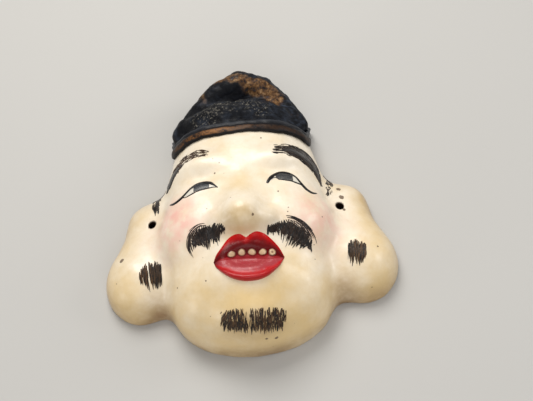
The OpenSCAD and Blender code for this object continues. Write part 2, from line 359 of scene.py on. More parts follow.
    def ear_edge(self, p: Array) -> Array:
        """Gives how far points are outside the joints of the ears."""
        return np.abs(p[..., 0]) - self.ear_joint_x - self.ear_joint_lean * p[..., 1]

    def face_and_cap(self, p: Array) -> Array:
        """Gives signed distances to the skin that the roll of the cap lies on."""
        cap = smooth_max(self.cap(p), -self.cap_edge(p), self.cap_edge_round)
        return smooth_min(self.face(p), cap, self.joint_blend)

    def hollow(self, p: Array) -> Array:
        """Gives signed distances to the hollows behind the four pieces of clay.

        Args:
            p: Points.

        Returns:
            A distance for each point, negative inside a hollow.
        """
        one, two = self.hollows
        face = smooth_min(one.distance(p), two.distance(p), two.blend)
        joints = np.maximum(self.ear_edge(p), self.cap_edge(p))
        face = smooth_max(face, joints + self.wall, self.hollow_blend)
        ear = np.maximum(self.ears(p) + self.wall, self.string_wall - self.ear_edge(p))
        ear = smooth_max(ear, p[..., 2] - self.ear_hollow, self.ear_hollow_round)
        above = self.wall - self.cap_edge(p)
        cap = smooth_max(self.cap_hollow.distance(p), above, self.hollow_blend)
        return np.minimum(np.minimum(face, ear), cap) + self.hollow_wobble.at(p)

    def string_hole(self, p: Array) -> Array:
        """Gives signed distances to the two string holes."""
        dx, dy = np.abs(p[..., 0]) - self.hole_x, p[..., 1] - self.hole_y
        return np.sqrt(dx * dx + dy * dy) - self.hole_radius

    def shell(self, skin: Array, p: Array) -> Array:
        """Hollows a skin from behind, flattens its back and bores the string holes.

        Args:
            skin: Signed distances to the skin.
            p: The points that they belong to.

        Returns:
            Signed distances to the hollowed clay.
        """
        d = smooth_max(skin, -self.hollow(p), self.rim_round)
        d = smooth_max(d, -p[..., 2], self.back_round)
        return smooth_max(d, -self.string_hole(p), self.hole_round)

    def face_clay(self, p: Array) -> Array:
        """Gives signed distances to the clay of the face and ears."""
        return np.maximum(self.shell(self.face(p), p), self.cap_edge(p) + self.joint_gap)

    def cap_clay(self, p: Array) -> Array:
        """Gives signed distances to the clay of the cap."""
        return np.maximum(self.shell(self.cap(p), p), self.joint_gap - self.cap_edge(p))


def slope_of(solid: Solid, p: Array, step: float = 0.05) -> Array:
    """Gives the slope of a solid's distance at points.

    Args:
        solid: Signed distance function.
        p: Points as rows.
        step: Half the distance between the two samples on each axis.

    Returns:
        One slope vector a row.
    """
    columns = []
    for axis in range(3):
        shift = np.zeros(3)
        shift[axis] = step
        columns.append((solid(p + shift) - solid(p - shift)) / (2 * step))
    return np.stack(columns, -1)


def unit(v: Array) -> Array:
    """Scales vectors to length 1."""
    return v / np.maximum(np.linalg.norm(v, axis=-1, keepdims=True), 1e-9)


def cast(solid: Solid, start: Array, way: Array, steps: int = 70) -> Array:
    """Drops points along rays until they lie on a solid.

    Args:
        solid: Signed distance function.
        start: Points outside the solid.
        way: One direction for all of them, or one each.
        steps: How many times each point moves.

    Returns:
        The points on the skin.
    """
    p = start.astype(float).copy()
    nearest, gap = p.copy(), np.full(p.shape[:-1], np.inf)
    shortest, longest, caution = -4, 12, 0.8
    for _ in range(steps):
        d = solid(p)
        closer = np.abs(d) < gap
        nearest[closer], gap[closer] = p[closer], np.abs(d)[closer]
        p = p + way * np.clip(d, shortest, longest)[..., None] * caution
    for _ in range(4):
        slope = slope_of(solid, nearest)
        steep = np.maximum((slope**2).sum(-1), 0.1)
        nearest = nearest - (solid(nearest) / steep)[..., None] * slope
    return nearest


@dataclass(frozen=True)
class Kiln:
    """Turns solids into closed meshes by sampling them on a grid."""

    relief: Relief
    voxel: float
    coarse: int = 4
    near_skin: float = 2.4
    batch: int = 400000

    def samples(self, solid: Solid, axes: list[Array]) -> Array:
        """Samples a solid on a grid, in full only close to its skin.

        Args:
            solid: Signed distance function.
            axes: Grid places along the three axes.

        Returns:
            Signed distances on the grid.
        """
        rough_axes = [a[:: self.coarse] for a in axes]
        rough = solid(np.stack(np.meshgrid(*rough_axes, indexing="ij"), -1).astype(np.float32))
        values = rough
        for axis, a in enumerate(axes):
            values = np.repeat(values, self.coarse, axis=axis)
            values = np.take(values, np.arange(len(a)), axis=axis)
        band = self.voxel * self.coarse * self.near_skin
        near = np.argwhere(np.abs(values) < band)
        for k in range(0, len(near), self.batch):
            part = near[k : k + self.batch]
            p = np.stack([axes[i][part[:, i]] for i in range(3)], -1).astype(np.float32)
            values[part[:, 0], part[:, 1], part[:, 2]] = solid(p)
        return values

    def skin(self, solid: Solid, low: Sequence[float], high: Sequence[float]) -> tuple[Array, Array]:
        """Meshes a solid with one point in each grid cell that its skin crosses.

        Args:
            solid: Signed distance function.
            low: Lowest corner of the block to mesh.
            high: Highest corner of the block.

        Returns:
            Points, and quads as rows of four indices.
        """
        low = np.array(low, float)
        count = np.ceil((np.array(high) - low) / self.voxel).astype(int)
        count = (count // self.coarse + 1) * self.coarse
        axes = [low[i] + self.voxel * np.arange(count[i]) for i in range(3)]
        values = self.samples(solid, axes)
        inside = values < 0
        corners = [(a, b, c) for a in (0, 1) for b in (0, 1) for c in (0, 1)]
        total = np.zeros(count - 1, np.int8)
        for a, b, c in corners:
            total += inside[a : count[0] - 1 + a, b : count[1] - 1 + b, c : count[2] - 1 + c]
        crossed = (total > 0) & (total < 8)
        cells = np.argwhere(crossed)
        ids = np.full(crossed.shape, -1, np.int64)
        ids[crossed] = np.arange(len(cells))
        points = self.cell_points(values, cells, corners)
        points = low + self.voxel * (cells + points)
        quads = np.concatenate([self.quads(inside, ids, axis) for axis in range(3)])
        return self.settle(solid, points), quads

    def cell_points(self, values: Array, cells: Array, corners: list) -> Array:
        """Puts each cell's point at the middle of its skin crossings.

        Args:
            values: Signed distances on the grid.
            cells: The crossed cells, as rows of grid places.
            corners: The eight corners of a cell.

        Returns:
            One place in its cell for each.
        """
        total = np.zeros((len(cells), 3))
        hits = np.zeros(len(cells))
        at = {c: values[tuple((cells + np.array(c)).T)].astype(float) for c in corners}
        for i, first in enumerate(corners):
            for second in corners[i + 1 :]:
                if sum(abs(a - b) for a, b in zip(first, second)) != 1:
                    continue
                a, b = at[first], at[second]
                hit = (a < 0) != (b < 0)
                t = np.where(hit, a / np.where(hit, a - b, 1), 0)
                way = np.array(second) - np.array(first)
                total += (np.array(first) + t[:, None] * way) * hit[:, None]
                hits += hit
        return total / hits[:, None]

    def quads(self, inside: Array, ids: Array, axis: int) -> Array:
        """Joins the points of the four cells around each grid edge that the skin cuts.

        Args:
            inside: Whether each grid place is inside the solid.
            ids: Number of each crossed cell's point.
            axis: The axis that the edges run along.

        Returns:
            Quads as rows of four point numbers, looking outwards.
        """
        second, third = (axis + 1) % 3, (axis + 2) % 3
        size = inside.shape
        before = np.take(inside, np.arange(size[axis] - 1), axis=axis)
        after = np.take(inside, np.arange(1, size[axis]), axis=axis)
        edges = np.argwhere(before != after)
        for other in (second, third):
            edges = edges[(edges[:, other] > 0) & (edges[:, other] < size[other] - 1)]

        def cell(back_second: int, back_third: int) -> Array:
            """Gives the point of one cell beside each edge.

            Args:
                back_second: Cells to step back along the second axis.
                back_third: Cells to step back along the third axis.

            Returns:
                One point number for each edge.
            """
            at = edges.copy()
            at[:, second] -= back_second
            at[:, third] -= back_third
            return ids[at[:, 0], at[:, 1], at[:, 2]]

        rows = np.stack([cell(1, 1), cell(0, 1), cell(0, 0), cell(1, 0)], 1)
        outward = before[edges[:, 0], edges[:, 1], edges[:, 2]]
        rows[~outward] = rows[~outward][:, ::-1]
        return rows

    def settle(self, solid: Solid, points: Array, rounds: int = 3) -> Array:
        """Moves points onto the skin along its slope, half a voxel at most each time.

        Args:
            solid: Signed distance function.
            points: Points close to its skin.
            rounds: How many times they move.

        Returns:
            The moved points.
        """
        for _ in range(rounds):
            slope = slope_of(solid, points)
            steep = np.maximum((slope**2).sum(-1), 0.05)
            step = -(solid(points) / steep)[:, None] * slope
            length = np.maximum(np.linalg.norm(step, axis=1, keepdims=True), 1e-9)
            points = points + step * np.minimum(1, 0.5 * self.voxel / length)
        return points


@dataclass
class Form:
    """Points and faces of one piece while it is being made, with values at the points."""

    points: list[Array] = field(default_factory=list)
    faces: list[Array] = field(default_factory=list)
    values: dict[str, list[Array]] = field(default_factory=dict)
    count: int = 0

    def add(self, points: Array, faces: Array, **values: Array) -> None:
        """Adds one closed shape.

        Args:
            points: Its points as rows.
            faces: Its quads as rows of indices into the points.
            values: Named values, one a point.
        """
        self.points.append(points)
        self.faces.append(faces + self.count)
        for name, value in values.items():
            self.values.setdefault(name, []).append(value)
        self.count += len(points)


@dataclass
class Bench:
    """Puts finished meshes into the scene, in the frame's place and in metres."""

    centre_y: float

    def place(self, points: Array) -> Array:
        """Moves sculpted points into the frame."""
        return (np.asarray(points, float) - np.array([0, self.centre_y, 0])) * MM

    def finish(self, mesh: bpy.types.Mesh, name: str, material: bpy.types.Material,
               slot: Slot, node: str) -> None:
        """Makes an object of a mesh and ties it to the frame.

        Args:
            mesh: The finished mesh.
            name: Name of the piece.
            material: What it is painted with.
            slot: The record's slot of that finish; not used.
            node: The CAD node it stands for.
        """
        piece = bpy.data.objects.new(name, mesh)
        bpy.context.scene.collection.objects.link(piece)
        mesh.materials.append(material)
        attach(piece, "root")
        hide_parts(node)
        LOG.info("%s: %d faces", name, len(mesh.polygons))

    def keep(self, mesh: bpy.types.Mesh, name: str, value: Array) -> None:
        """Keeps one named value at each point of a mesh."""
        layer = mesh.attributes.new(name, "FLOAT", "POINT")
        layer.data.foreach_set("value", value.astype(np.float32))

    def lay(self, form: Form, name: str, material: bpy.types.Material, slot: Slot,
            node: str) -> None:
        """Makes one smooth piece of a form.

        Args:
            form: The piece's closed shapes.
            name: Name of the piece.
            material: What it is painted with.
            slot: The record's slot of that finish.
            node: The CAD node it stands for.
        """
        mesh = bpy.data.meshes.new(name)
        points = self.place(np.concatenate(form.points))
        quads = np.concatenate(form.faces).tolist()
        faces = [q[:3] if q[2] == q[3] else q for q in quads]
        mesh.from_pydata(points.tolist(), [], faces)
        for key, rows in form.values.items():
            self.keep(mesh, key, np.concatenate(rows))
        mesh.shade_smooth()
        self.finish(mesh, name, material, slot, node)


@dataclass(frozen=True)
class Painter:
    """Lays marks on the relief from the way the mask is held while it is painted.

    Places on the mask are [across, up] as the painter sees them, with the mask leant back.
    """

    solid: Solid
    up: Place = (0.0, 0.866, 0.5)
    out: Place = (0.0, -0.5, 0.866)
    reach: float = 80.0
    stroke_sink: float = 0.05
    shoulder: float = 0.45

    def touch(self, places: Array) -> Array:
        """Finds the points of the skin at places.

        Args:
            places: Places, along the last axis.

        Returns:
            A point of the skin for each.
        """
        places = np.asarray(places, float)
        start = (
            places[..., :1] * np.array([1.0, 0, 0])
            + places[..., 1:2] * np.array(self.up)
            + self.reach * np.array(self.out)
        )
        return cast(self.solid, start, -np.array(self.out))

    def film(self, form: Form, places: Array, lifts: Array, sink: float,
             **values: Array) -> None:
        """Lays a thin closed film over a grid of places.

        Args:
            form: The piece that the film belongs to.
            places: Grid of places, rows by columns by 2, left to right and bottom to top.
            lifts: How far its top stands off the skin at each.
            sink: How far its underside is pressed into the skin.
            values: Named values on the same grid.
        """
        feet = self.touch(places)
        ups = unit(slope_of(self.solid, feet))
        sheet_film(form, feet, ups, lifts, sink, **values)

    def strokes(self, form: Form, paths: Array, widths: Array, heights: Array,
                tones: Array) -> None:
        """Lays many single brush strokes.

        Args:
            form: The piece that the strokes belong to.
            paths: Places along each stroke, strokes by points by 2.
            widths: Half the width at each point.
            heights: Height at each point.
            tones: A shade for each stroke, 0 dark to 1 light.
        """
        feet = self.touch(paths)
        ups = unit(slope_of(self.solid, feet))
        ways = unit(np.gradient(feet, axis=1))
        sides = unit(np.cross(ups, ways))
        edge, top = sides * widths[..., None], ups * heights[..., None]
        under = ups * self.stroke_sink
        ring = np.stack(
            [
                feet + edge - under,
                feet + edge * self.shoulder + top,
                feet - edge * self.shoulder + top,
                feet - edge - under,
            ],
            2,
        )
        strokes, length = feet.shape[0], feet.shape[1]
        first = np.arange(strokes)[:, None, None] * length * 4
        row = np.arange(length - 1)[None, :, None] * 4
        corner = np.arange(4)[None, None, :]
        a = first + row + corner
        b = first + row + (corner + 1) % 4
        walls = np.stack([a, b, b + 4, a + 4], -1).reshape(-1, 4)
        starts = first[:, 0] + np.array([3, 2, 1, 0])
        ends = first[:, 0] + (length - 1) * 4 + np.array([0, 1, 2, 3])
        faces = np.concatenate([walls, starts, ends])[:, ::-1]
        shade = np.repeat(tones, length * 4)
        form.add(ring.reshape(-1, 3), faces, tone=shade)


def sheet_film(form: Form, feet: Array, ups: Array, lifts: Array, sink: float,
               **values: Array) -> None:
    """Closes a film between a grid of feet and the same grid lifted along its own up.

    Args:
        form: The piece that the film belongs to.
        feet: Grid of points on the skin.
        ups: Grid of directions away from the skin.
        lifts: How far the top stands off the skin at each.
        sink: How far the underside is pressed in.
        values: Named values on the same grid.
    """
    rows, cols = feet.shape[:2]
    under = feet - ups * sink
    over = feet + ups * lifts[..., None]
    n = rows * cols
    at = np.arange(n).reshape(rows, cols)
    top = np.stack([at[:-1, :-1], at[:-1, 1:], at[1:, 1:], at[1:, :-1]], -1).reshape(-1, 4) + n
    bottom = top[:, ::-1] - n
    edge = np.concatenate([at[0, :], at[1:, -1], at[-1, -2::-1], at[-2:0:-1, 0]])
    after = np.roll(edge, -1)
    side = np.stack([edge, after, after + n, edge + n], -1)
    points = np.concatenate([under.reshape(-1, 3), over.reshape(-1, 3)])
    doubled = {k: np.tile(v.reshape(-1), 2) for k, v in values.items()}
    form.add(points, np.concatenate([top, bottom, side]), **doubled)


def through(points: Sequence[Sequence[float]], count: int) -> Array:
    """Draws a smooth line through points.

    Args:
        points: Its points, each with any number of values.
        count: How many points to give back.

    Returns:
        Points evenly spread along the line.
    """
    p = np.array(points, float)
    p = np.concatenate([[2 * p[0] - p[1]], p, [2 * p[-1] - p[-2]]])
    rows = []
    for i in range(1, len(p) - 2):
        t = np.linspace(0, 1, 24, endpoint=False)[:, None]
        a, b, c, d = p[i - 1], p[i], p[i + 1], p[i + 2]
        rows.append(
            0.5 * (2 * b + (c - a) * t + (2 * a - 5 * b + 4 * c - d) * t**2
                   + (3 * b - a - 3 * c + d) * t**3)
        )
    rows.append(p[-2:-1])
    line = np.concatenate(rows)
    far = np.concatenate([[0], np.cumsum(np.linalg.norm(np.diff(line[:, :2], axis=0), axis=1))])
    at = np.linspace(0, far[-1], count)
    return np.stack([np.interp(at, far, line[:, k]) for k in range(line.shape[1])], -1)


def between(low: Sequence[Point], high: Sequence[Point], steps: int, rows: int) -> Array:
    """Spans a grid of places between two outlines that run from left to right.

    Args:
        low: The lower outline.
        high: The upper outline.
        steps: Places along each row.
        rows: How many rows.

    Returns:
        The grid, rows by steps by 2, from the lower outline up.
    """
    a, b = through(low, steps), through(high, steps)
    t = np.linspace(0, 1, rows)[:, None, None]
    return a[None] * (1 - t) + b[None] * t


class Recipe:
    """Builds one material's nodes in few words."""

    def __init__(self, name: str, roughness: float, coat: float = 0.0, shine: float = 0.5) -> None:
        """Starts a material.

        Args:
            name: The material's name.
            roughness: Roughness of the paint.
            coat: Strength of a clear varnish over it.
            shine: Strength of the paint's own reflection.
        """
        self.material = bpy.data.materials.new(name)
        self.material.use_nodes = True
        self.nodes = self.material.node_tree.nodes
        self.links = self.material.node_tree.links
        self.shader = self.nodes["Principled BSDF"]
        self.shader.inputs["Roughness"].default_value = roughness
        self.shader.inputs["Coat Weight"].default_value = coat
        self.shader.inputs["Coat Roughness"].default_value = 0.16
        self.shader.inputs["Specular IOR Level"].default_value = shine
        coordinates = self.nodes.new("ShaderNodeTexCoord")
        self.place = coordinates.outputs["Object"]

    def put(self, socket: Socket, value: object) -> None:
        """Sets an input.

        Args:
            socket: The input.
            value: A number or colour, or another node's output to link to it.
        """
        if isinstance(value, bpy.types.NodeSocket):
            self.links.new(value, socket)
        elif isinstance(value, tuple) and len(value) == 3 and socket.type == "RGBA":
            socket.default_value = (*value, 1.0)
        else:
            socket.default_value = value

    def noise(self, size_mm: float, detail: float = 3.0, roughness: float = 0.55,
              stretch: Place = (1, 1, 1), shift: float = 0.0) -> Socket:
        """Makes a cloudy pattern.

        Args:
            size_mm: Size of its largest clouds.
            detail: How many finer layers it has.
            roughness: How strong the finer layers are.
            stretch: Scale along each axis.
            shift: Where in the pattern to start.

        Returns:
            A value from 0 to 1.
        """
        moved = self.nodes.new("ShaderNodeMapping")
        self.put(moved.inputs["Vector"], self.place)
        moved.inputs["Location"].default_value = (shift, shift * 0.7, shift * 1.3)
        moved.inputs["Scale"].default_value = stretch
        node = self.nodes.new("ShaderNodeTexNoise")
        self.put(node.inputs["Vector"], moved.outputs[0])
        node.inputs["Scale"].default_value = 1 / (size_mm * MM)
        node.inputs["Detail"].default_value = detail
        node.inputs["Roughness"].default_value = roughness
        return node.outputs["Fac"]

    def cells(self, size_mm: float, shift: float) -> Socket:
        """Makes a pattern of cells.

        Args:
            size_mm: Size of a cell.
            shift: Where in the pattern to start.

        Returns:
            Distance to the middle of the nearest cell.
        """
        moved = self.nodes.new("ShaderNodeMapping")
        self.put(moved.inputs["Vector"], self.place)
        moved.inputs["Location"].default_value = (shift, shift, shift)
        node = self.nodes.new("ShaderNodeTexVoronoi")
        self.put(node.inputs["Vector"], moved.outputs[0])
        node.inputs["Scale"].default_value = 1 / (size_mm * MM)
        return node.outputs["Distance"]

    def value(self, name: str) -> Socket:
        """Reads a value kept at the points of the mesh.

        Args:
            name: The value's name.

        Returns:
            The value.
        """
        node = self.nodes.new("ShaderNodeAttribute")
        node.attribute_name = name
        return node.outputs["Fac"]

    def step(self, value: object, low: float, high: float, top: float = 1.0) -> Socket:
        """Turns a value into a smooth step.

        Args:
            value: The value.
            low: Where the step is 0.
            high: Where the step is at its top, above or below low.
            top: Height of the step.

        Returns:
            A value from 0 to top.
        """
        node = self.nodes.new("ShaderNodeMapRange")
        node.interpolation_type = "SMOOTHSTEP"
        self.put(node.inputs["Value"], value)
        node.inputs["From Min"].default_value = min(low, high)
        node.inputs["From Max"].default_value = max(low, high)
        node.inputs["To Min"].default_value = 0.0 if low < high else top
        node.inputs["To Max"].default_value = top if low < high else 0.0
        return node.outputs["Result"]

    def sum(self, kind: str, a: object, b: object) -> Socket:
        """Combines two values.

        Args:
            kind: What a Math node does with them.
            a: The first value.
            b: The second value.

        Returns:
            The result.
        """
        node = self.nodes.new("ShaderNodeMath")
        node.operation = kind
        self.put(node.inputs[0], a)
        self.put(node.inputs[1], b)
        return node.outputs[0]

    def mix(self, share: object, a: object, b: object) -> Socket:
        """Mixes two colours.

        Args:
            share: Share of the second colour, from 0 to 1.
            a: The first colour.
            b: The second colour.

        Returns:
            The mixed colour.
        """
        node = self.nodes.new("ShaderNodeMix")
        node.data_type = "RGBA"
        self.put(node.inputs[0], share)
        self.put(node.inputs[6], a)
        self.put(node.inputs[7], b)
        return node.outputs[2]

    def near(self, point: Array, radius: float) -> Socket:
        """Marks a spot.

        Args:
            point: Its middle in the frame, in metres.
            radius: Its radius in metres.

        Returns:
            A value that falls from 1 at the middle to 0 at the radius.
        """
        node = self.nodes.new("ShaderNodeVectorMath")
        node.operation = "DISTANCE"
        self.put(node.inputs[0], self.place)
        node.inputs[1].default_value = tuple(float(c) for c in point)
        return self.step(node.outputs["Value"], radius, 0.0)

    def colour(self, value: object) -> None:
        """Sets the paint's colour."""
        self.put(self.shader.inputs["Base Color"], value)

    def gloss(self, value: object, low: float, high: float) -> None:
        """Lets the roughness follow a value.

        Args:
            value: A value from 0 to 1.
            low: Roughness where it is 0.
            high: Roughness where it is 1.
        """
        node = self.nodes.new("ShaderNodeMapRange")
        self.put(node.inputs["Value"], value)
        node.inputs["To Min"].default_value = low
        node.inputs["To Max"].default_value = high
        self.put(self.shader.inputs["Roughness"], node.outputs["Result"])

    def relief(self, layers: Sequence[tuple[object, float]]) -> None:
        """Raises the paint by several patterns.

        Args:
            layers: Each pattern with its height in millimetres.
        """
        normal = None
        for height, tall in layers:
            node = self.nodes.new("ShaderNodeBump")
            node.inputs["Strength"].default_value = 1.0
            node.inputs["Distance"].default_value = tall * MM
            self.put(node.inputs["Height"], height)
            if normal is not None:
                self.put(node.inputs["Normal"], normal)
            normal = node.outputs["Normal"]
        self.put(self.shader.inputs["Normal"], normal)
        self.put(self.shader.inputs["Coat Normal"], normal)


@dataclass(frozen=True)
class Chip:
    """A small place where the paint is chipped or stained, as [across, up] and a radius."""

    at: Point
    radius: float


@dataclass(frozen=True)
class IvoryPaint:
    """Aged glossy ivory paint, rosy on the cheeks and brown towards its edges from aged toning and
    painted shade, with painted shade under the nose, by the lobes and in the string holes.
    """

    pale: Colour = paint(248, 236, 216)
    warm: Colour = paint(230, 200, 144)
    brown: Colour = paint(140, 104, 66)
    rose: Colour = paint(244, 178, 164)
    soil: Colour = paint(92, 66, 42)
    tea: Colour = paint(206, 182, 136)
    # Dark of the painted shade inside the string holes.
    hole_shade_dark: Colour = paint(38, 22, 14)
    # Painted shade under the nose, laid on as warmer paint.
    under_nose_shade_low: Patch = Patch((0, -22), (10, 5.5), 0.4)
    under_nose_shade_high: Patch = Patch((0, -17), (8, 4), 0.4)
    bridge: Patch = Patch((0, 2), (6, 9), 0.3)
    # Painted shade on the underside of the nose, laid on as brown paint.
    nose_underside_shade: Patch = Patch((0, -17.4), (10, 2.8), 0.6)
    # Painted shade in the dip where the lobe meets the jaw.
    dip: Patch = Patch((37, -38), (5, 7), 0.45)
    beard: Patch = Patch((0.6, -55.5), (12, 4), 0.55)
    cheeks: tuple[Patch, ...] = (
        Patch((-27, -11), (10, 10), 1.1),
        Patch((30, -14), (9.5, 10), 0.8),
    )
    chip_spread: float = 1.25
    chips: tuple[Chip, ...] = (
        Chip((40.6, 12.0), 1.5), Chip((41.3, 8.5), 1.6), Chip((41.6, 3.2), 0.9),
        Chip((40.2, 14.6), 1.0), Chip((39.4, 6.2), 0.8), Chip((52.9, -12.8), 0.6),
        Chip((8.8, -42.8), 1.1), Chip((5.0, -42.6), 0.9), Chip((4.6, 5.6), 0.8),
        Chip((9.8, 36.8), 0.6), Chip((-10.2, 23.6), 0.5), Chip((-52.6, -8.4), 1.6),
        Chip((15.0, 13.6), 0.5), Chip((18.0, 5.2), 0.4), Chip((-3.6, 13.0), 0.4),
        Chip((-28.5, -20.5), 0.5), Chip((-16.0, -18.0), 0.5), Chip((27.0, -9.0), 0.4),
    )

    def values(self, p: Array) -> dict[str, Array]:
        """Works out where the paint is warm, brown and rosy, and where shade is painted into it.

        Args:
            p: Sculpted points.

        Returns:
            Named values at the points.
        """
        x, y, z = p[:, 0], p[:, 1], p[:, 2]
        ax = np.abs(x)
        hole = Relief().string_hole(p)
        low = smooth_step(-20, -54, y) * 0.62
        ear = smooth_step(40, 54, ax) * 0.4
        # Painted shade under the nose.
        under_nose = self.under_nose_shade_low.at(x, y) + self.under_nose_shade_high.at(x, y)
        # Browner towards the back rim: aged toning with painted shade over it.
        rim = smooth_step(14, 1, z) * 0.75
        # Painted shade on the underside of the nose.
        nose_underside_shade = self.nose_underside_shade.at(x, y) * smooth_step(30, 36, z)
        # Browner along the chin's lower edge: patina with painted shade over it.
        chin_rim = smooth_step(-58, -66, y) * 0.7
        beard = self.beard
        across, up = (x - beard.centre[0]) / beard.size[0], (y - beard.centre[1]) / beard.size[1]
        under_beard = beard.strength * np.exp(-(across**4) - up**2) * smooth_step(14, 20, z)
        # Brown from stains under the beard, with painted shade at the rim, the chin's edge, under the
        # nose and in the lobe dip.
        brown = rim + chin_rim + self.dip.at(ax, y) + nose_underside_shade + under_beard
        return {
            "warm": np.clip(low + ear + under_nose + self.bridge.at(x, y), 0, 1),
            "brown": np.clip(brown, 0, 1),
            "rosy": np.clip(sum(cheek.at(x, y) for cheek in self.cheeks), 0, 1),
            # Painted shade inside the string holes.
            "dirt": smooth_step(0.45, 0.0, hole) * smooth_step(-0.5, 3.0, z),
        }

    def material(self, painter: Painter, bench: Bench) -> bpy.types.Material:
        """Makes the paint.

        Args:
            painter: Finds the places of the chips.
            bench: Gives their places in the frame.

        Returns:
            The finished material.
        """
        r = Recipe("ivory_paint", 0.34, 0.15)
        clouds = r.noise(16, 4, 0.6)
        fine = r.noise(1.6, 5, 0.65, shift=0.3)
        mottled = r.sum("MULTIPLY", r.sum("SUBTRACT", clouds, 0.5), 1.3)
        # Warmer towards the chin and ears, and under the nose as painted shade.
        warm = r.sum("ADD", r.value("warm"), mottled)
        colour = r.mix(r.step(warm, -0.25, 0.8), self.pale, self.warm)
        colour = r.mix(r.step(r.noise(3.4, 5, 0.7, shift=3.1), 0.4, 0.8, 0.22), colour, self.tea)
        rosy = r.sum("MULTIPLY", r.value("rosy"), r.step(r.noise(7, 4), 0.2, 0.7))
        colour = r.mix(r.sum("MULTIPLY", rosy, 0.9), colour, self.rose)
        # Brown: aged toning and stains, with painted shade at the rim, the chin's edge, under the nose
        # and in the lobe dip.
        brown = r.sum("MULTIPLY", r.value("brown"), r.step(clouds, 0.15, 0.75))
        colour = r.mix(brown, colour, self.brown)
        freckle = r.step(r.noise(2.6, 6, 0.75, shift=0.9), 0.68, 0.78)
        freckle = r.sum("MULTIPLY", freckle, r.step(r.value("warm"), 0.1, 0.9, 0.45))
        colour = r.mix(freckle, colour, self.brown)
        speck = r.step(r.cells(5.2, shift=0.11), 0.085, 0.05)
        speck = r.sum("MULTIPLY", speck, r.step(r.noise(9, 2, shift=0.6), 0.5, 0.62, 0.7))
        colour = r.mix(speck, colour, self.soil)
        chipped = None
        torn = r.sum("SUBTRACT", r.noise(0.9, 4, 0.7, shift=1.7), 0.5)
        for chip in self.chips:
            at = bench.place(painter.touch(np.array(chip.at)))
            spot = r.near(at, chip.radius * self.chip_spread * MM)
            chipped = spot if chipped is None else r.sum("MAXIMUM", chipped, spot)
        ragged = r.step(r.sum("ADD", chipped, torn), 0.4, 0.56)
        colour = r.mix(r.sum("MULTIPLY", ragged, 0.85), colour, self.soil)
        # Painted shade inside the string holes.
        colour = r.mix(r.value("dirt"), colour, self.hole_shade_dark)
        r.colour(colour)
        r.gloss(fine, 0.26, 0.46)
        ripples = r.noise(3.2, 3, 0.5, shift=2.2)
        pits = r.sum("MULTIPLY", ragged, -1.0)
        r.relief([(clouds, 0.35), (ripples, 0.05), (fine, 0.022), (pits, 0.12)])
        return r.material


@dataclass(frozen=True)
class Worn:
    """A soft round place on the cap that is rubbed or crusted."""

    strength: float
    centre: Place
    size: Place

    def at(self, p: Array) -> Array:
        """Gives how worn points are."""
        return self.strength * np.exp(-((((p - self.centre) / self.size) ** 2).sum(-1)))


@dataclass(frozen=True)
class CapPaint:
    """Thick blue-black paint, rubbed to orange brown, crusted with grey, and greyed by dust and a
    painted sheen.
    """

    black: Colour = paint(13, 14, 19)
    # Grey of the dust and of a painted sheen.
    grey: Colour = paint(66, 74, 88)
    orange: Colour = paint(118, 80, 40)
    tan: Colour = paint(172, 140, 104)
    crust: Colour = paint(150, 144, 132)
    rubbed: tuple[Worn, ...] = (
        Worn(0.95, (10, 57, 24), (6, 4, 6)),
        Worn(0.75, (17, 51, 21), (4.5, 4, 6)),
        Worn(0.75, (-6, 64, 23), (6, 4, 5)),
        Worn(0.6, (2, 61, 26), (5, 3, 4)),
        Worn(0.45, (-15, 56, 20), (4, 4, 5)),
        Worn(0.35, (24, 45, 15), (4, 5, 6)),
    )
    crusted: tuple[Worn, ...] = (
        Worn(1.2, (-14, 42, 26), (8, 6, 6)),
        Worn(0.96, (0, 46, 30), (9, 5, 5)),
        Worn(0.72, (10, 42, 27), (7, 5, 5)),
        Worn(0.6, (0, 62, 27), (7, 3, 5)),
    )

    def values(self, p: Array) -> dict[str, Array]:
        """Works out where the cap is rubbed, pale at its rim, crusted, and greyed by dust and a
        painted sheen.

        Args:
            p: Sculpted points.

        Returns:
            Named values at the points.
        """
        x, y, z = p[:, 0], p[:, 1], p[:, 2]
        return {
            "rub": np.clip(sum(place.at(p) for place in self.rubbed), 0, 1),
            "rim": smooth_step(64.5, 67.5, y) * 0.9,
            "crust": np.clip(sum(place.at(p) for place in self.crusted), 0, 1),
            # Dust and a painted sheen, towards the right and towards the top.
            "dust": smooth_step(-10, 30, x) * smooth_step(5, 20, z),
        }

    def material(self) -> bpy.types.Material:
        """Makes the paint.

        Returns:
            The finished material.
        """
        r = Recipe("cap_paint", 0.42, 0.0, 0.15)
        lumps = r.noise(5.5, 5, 0.62)
        fine = r.noise(1.1, 5, 0.7, shift=0.4)
        streaks = r.noise(3.0, 4, 0.6, (1.0, 2.6, 1.0), 0.8)
        # Dust and a painted sheen, in grey.
        dust = r.sum("MULTIPLY", r.value("dust"), r.step(streaks, 0.42, 0.72, 0.75))
        grey_dust_and_sheen = r.sum("MAXIMUM", dust, r.step(lumps, 0.48, 0.8, 0.55))
        colour = r.mix(grey_dust_and_sheen, self.black, self.grey)
        worn = r.sum("ADD", r.value("rub"), r.sum("SUBTRACT", lumps, 0.7))
        worn = r.step(worn, 0.0, 0.34, 0.85)
        blots = r.noise(2.6, 5, 0.72, shift=2.4)
        worn = r.sum("MULTIPLY", worn, r.step(blots, 0.34, 0.6))
        colour = r.mix(worn, colour, r.mix(r.step(blots, 0.48, 0.7), self.orange, self.tan))
        colour = r.mix(r.sum("MULTIPLY", r.value("rim"), r.step(lumps, 0.25, 0.7)), colour, self.tan)
        grains = r.step(r.noise(1.0, 4, 0.7, shift=1.3), 0.52, 0.7, 0.85)
        patchy = r.step(r.sum("ADD", r.value("crust"), streaks), 0.75, 1.25)
        crust = r.sum("MULTIPLY", grains, patchy)
        colour = r.mix(crust, colour, self.crust)
        r.colour(colour)
        r.gloss(r.sum("MAXIMUM", crust, streaks), 0.28, 0.75)
        r.relief([(lumps, 0.55), (streaks, 0.2), (fine, 0.1), (crust, 0.12)])
        return r.material


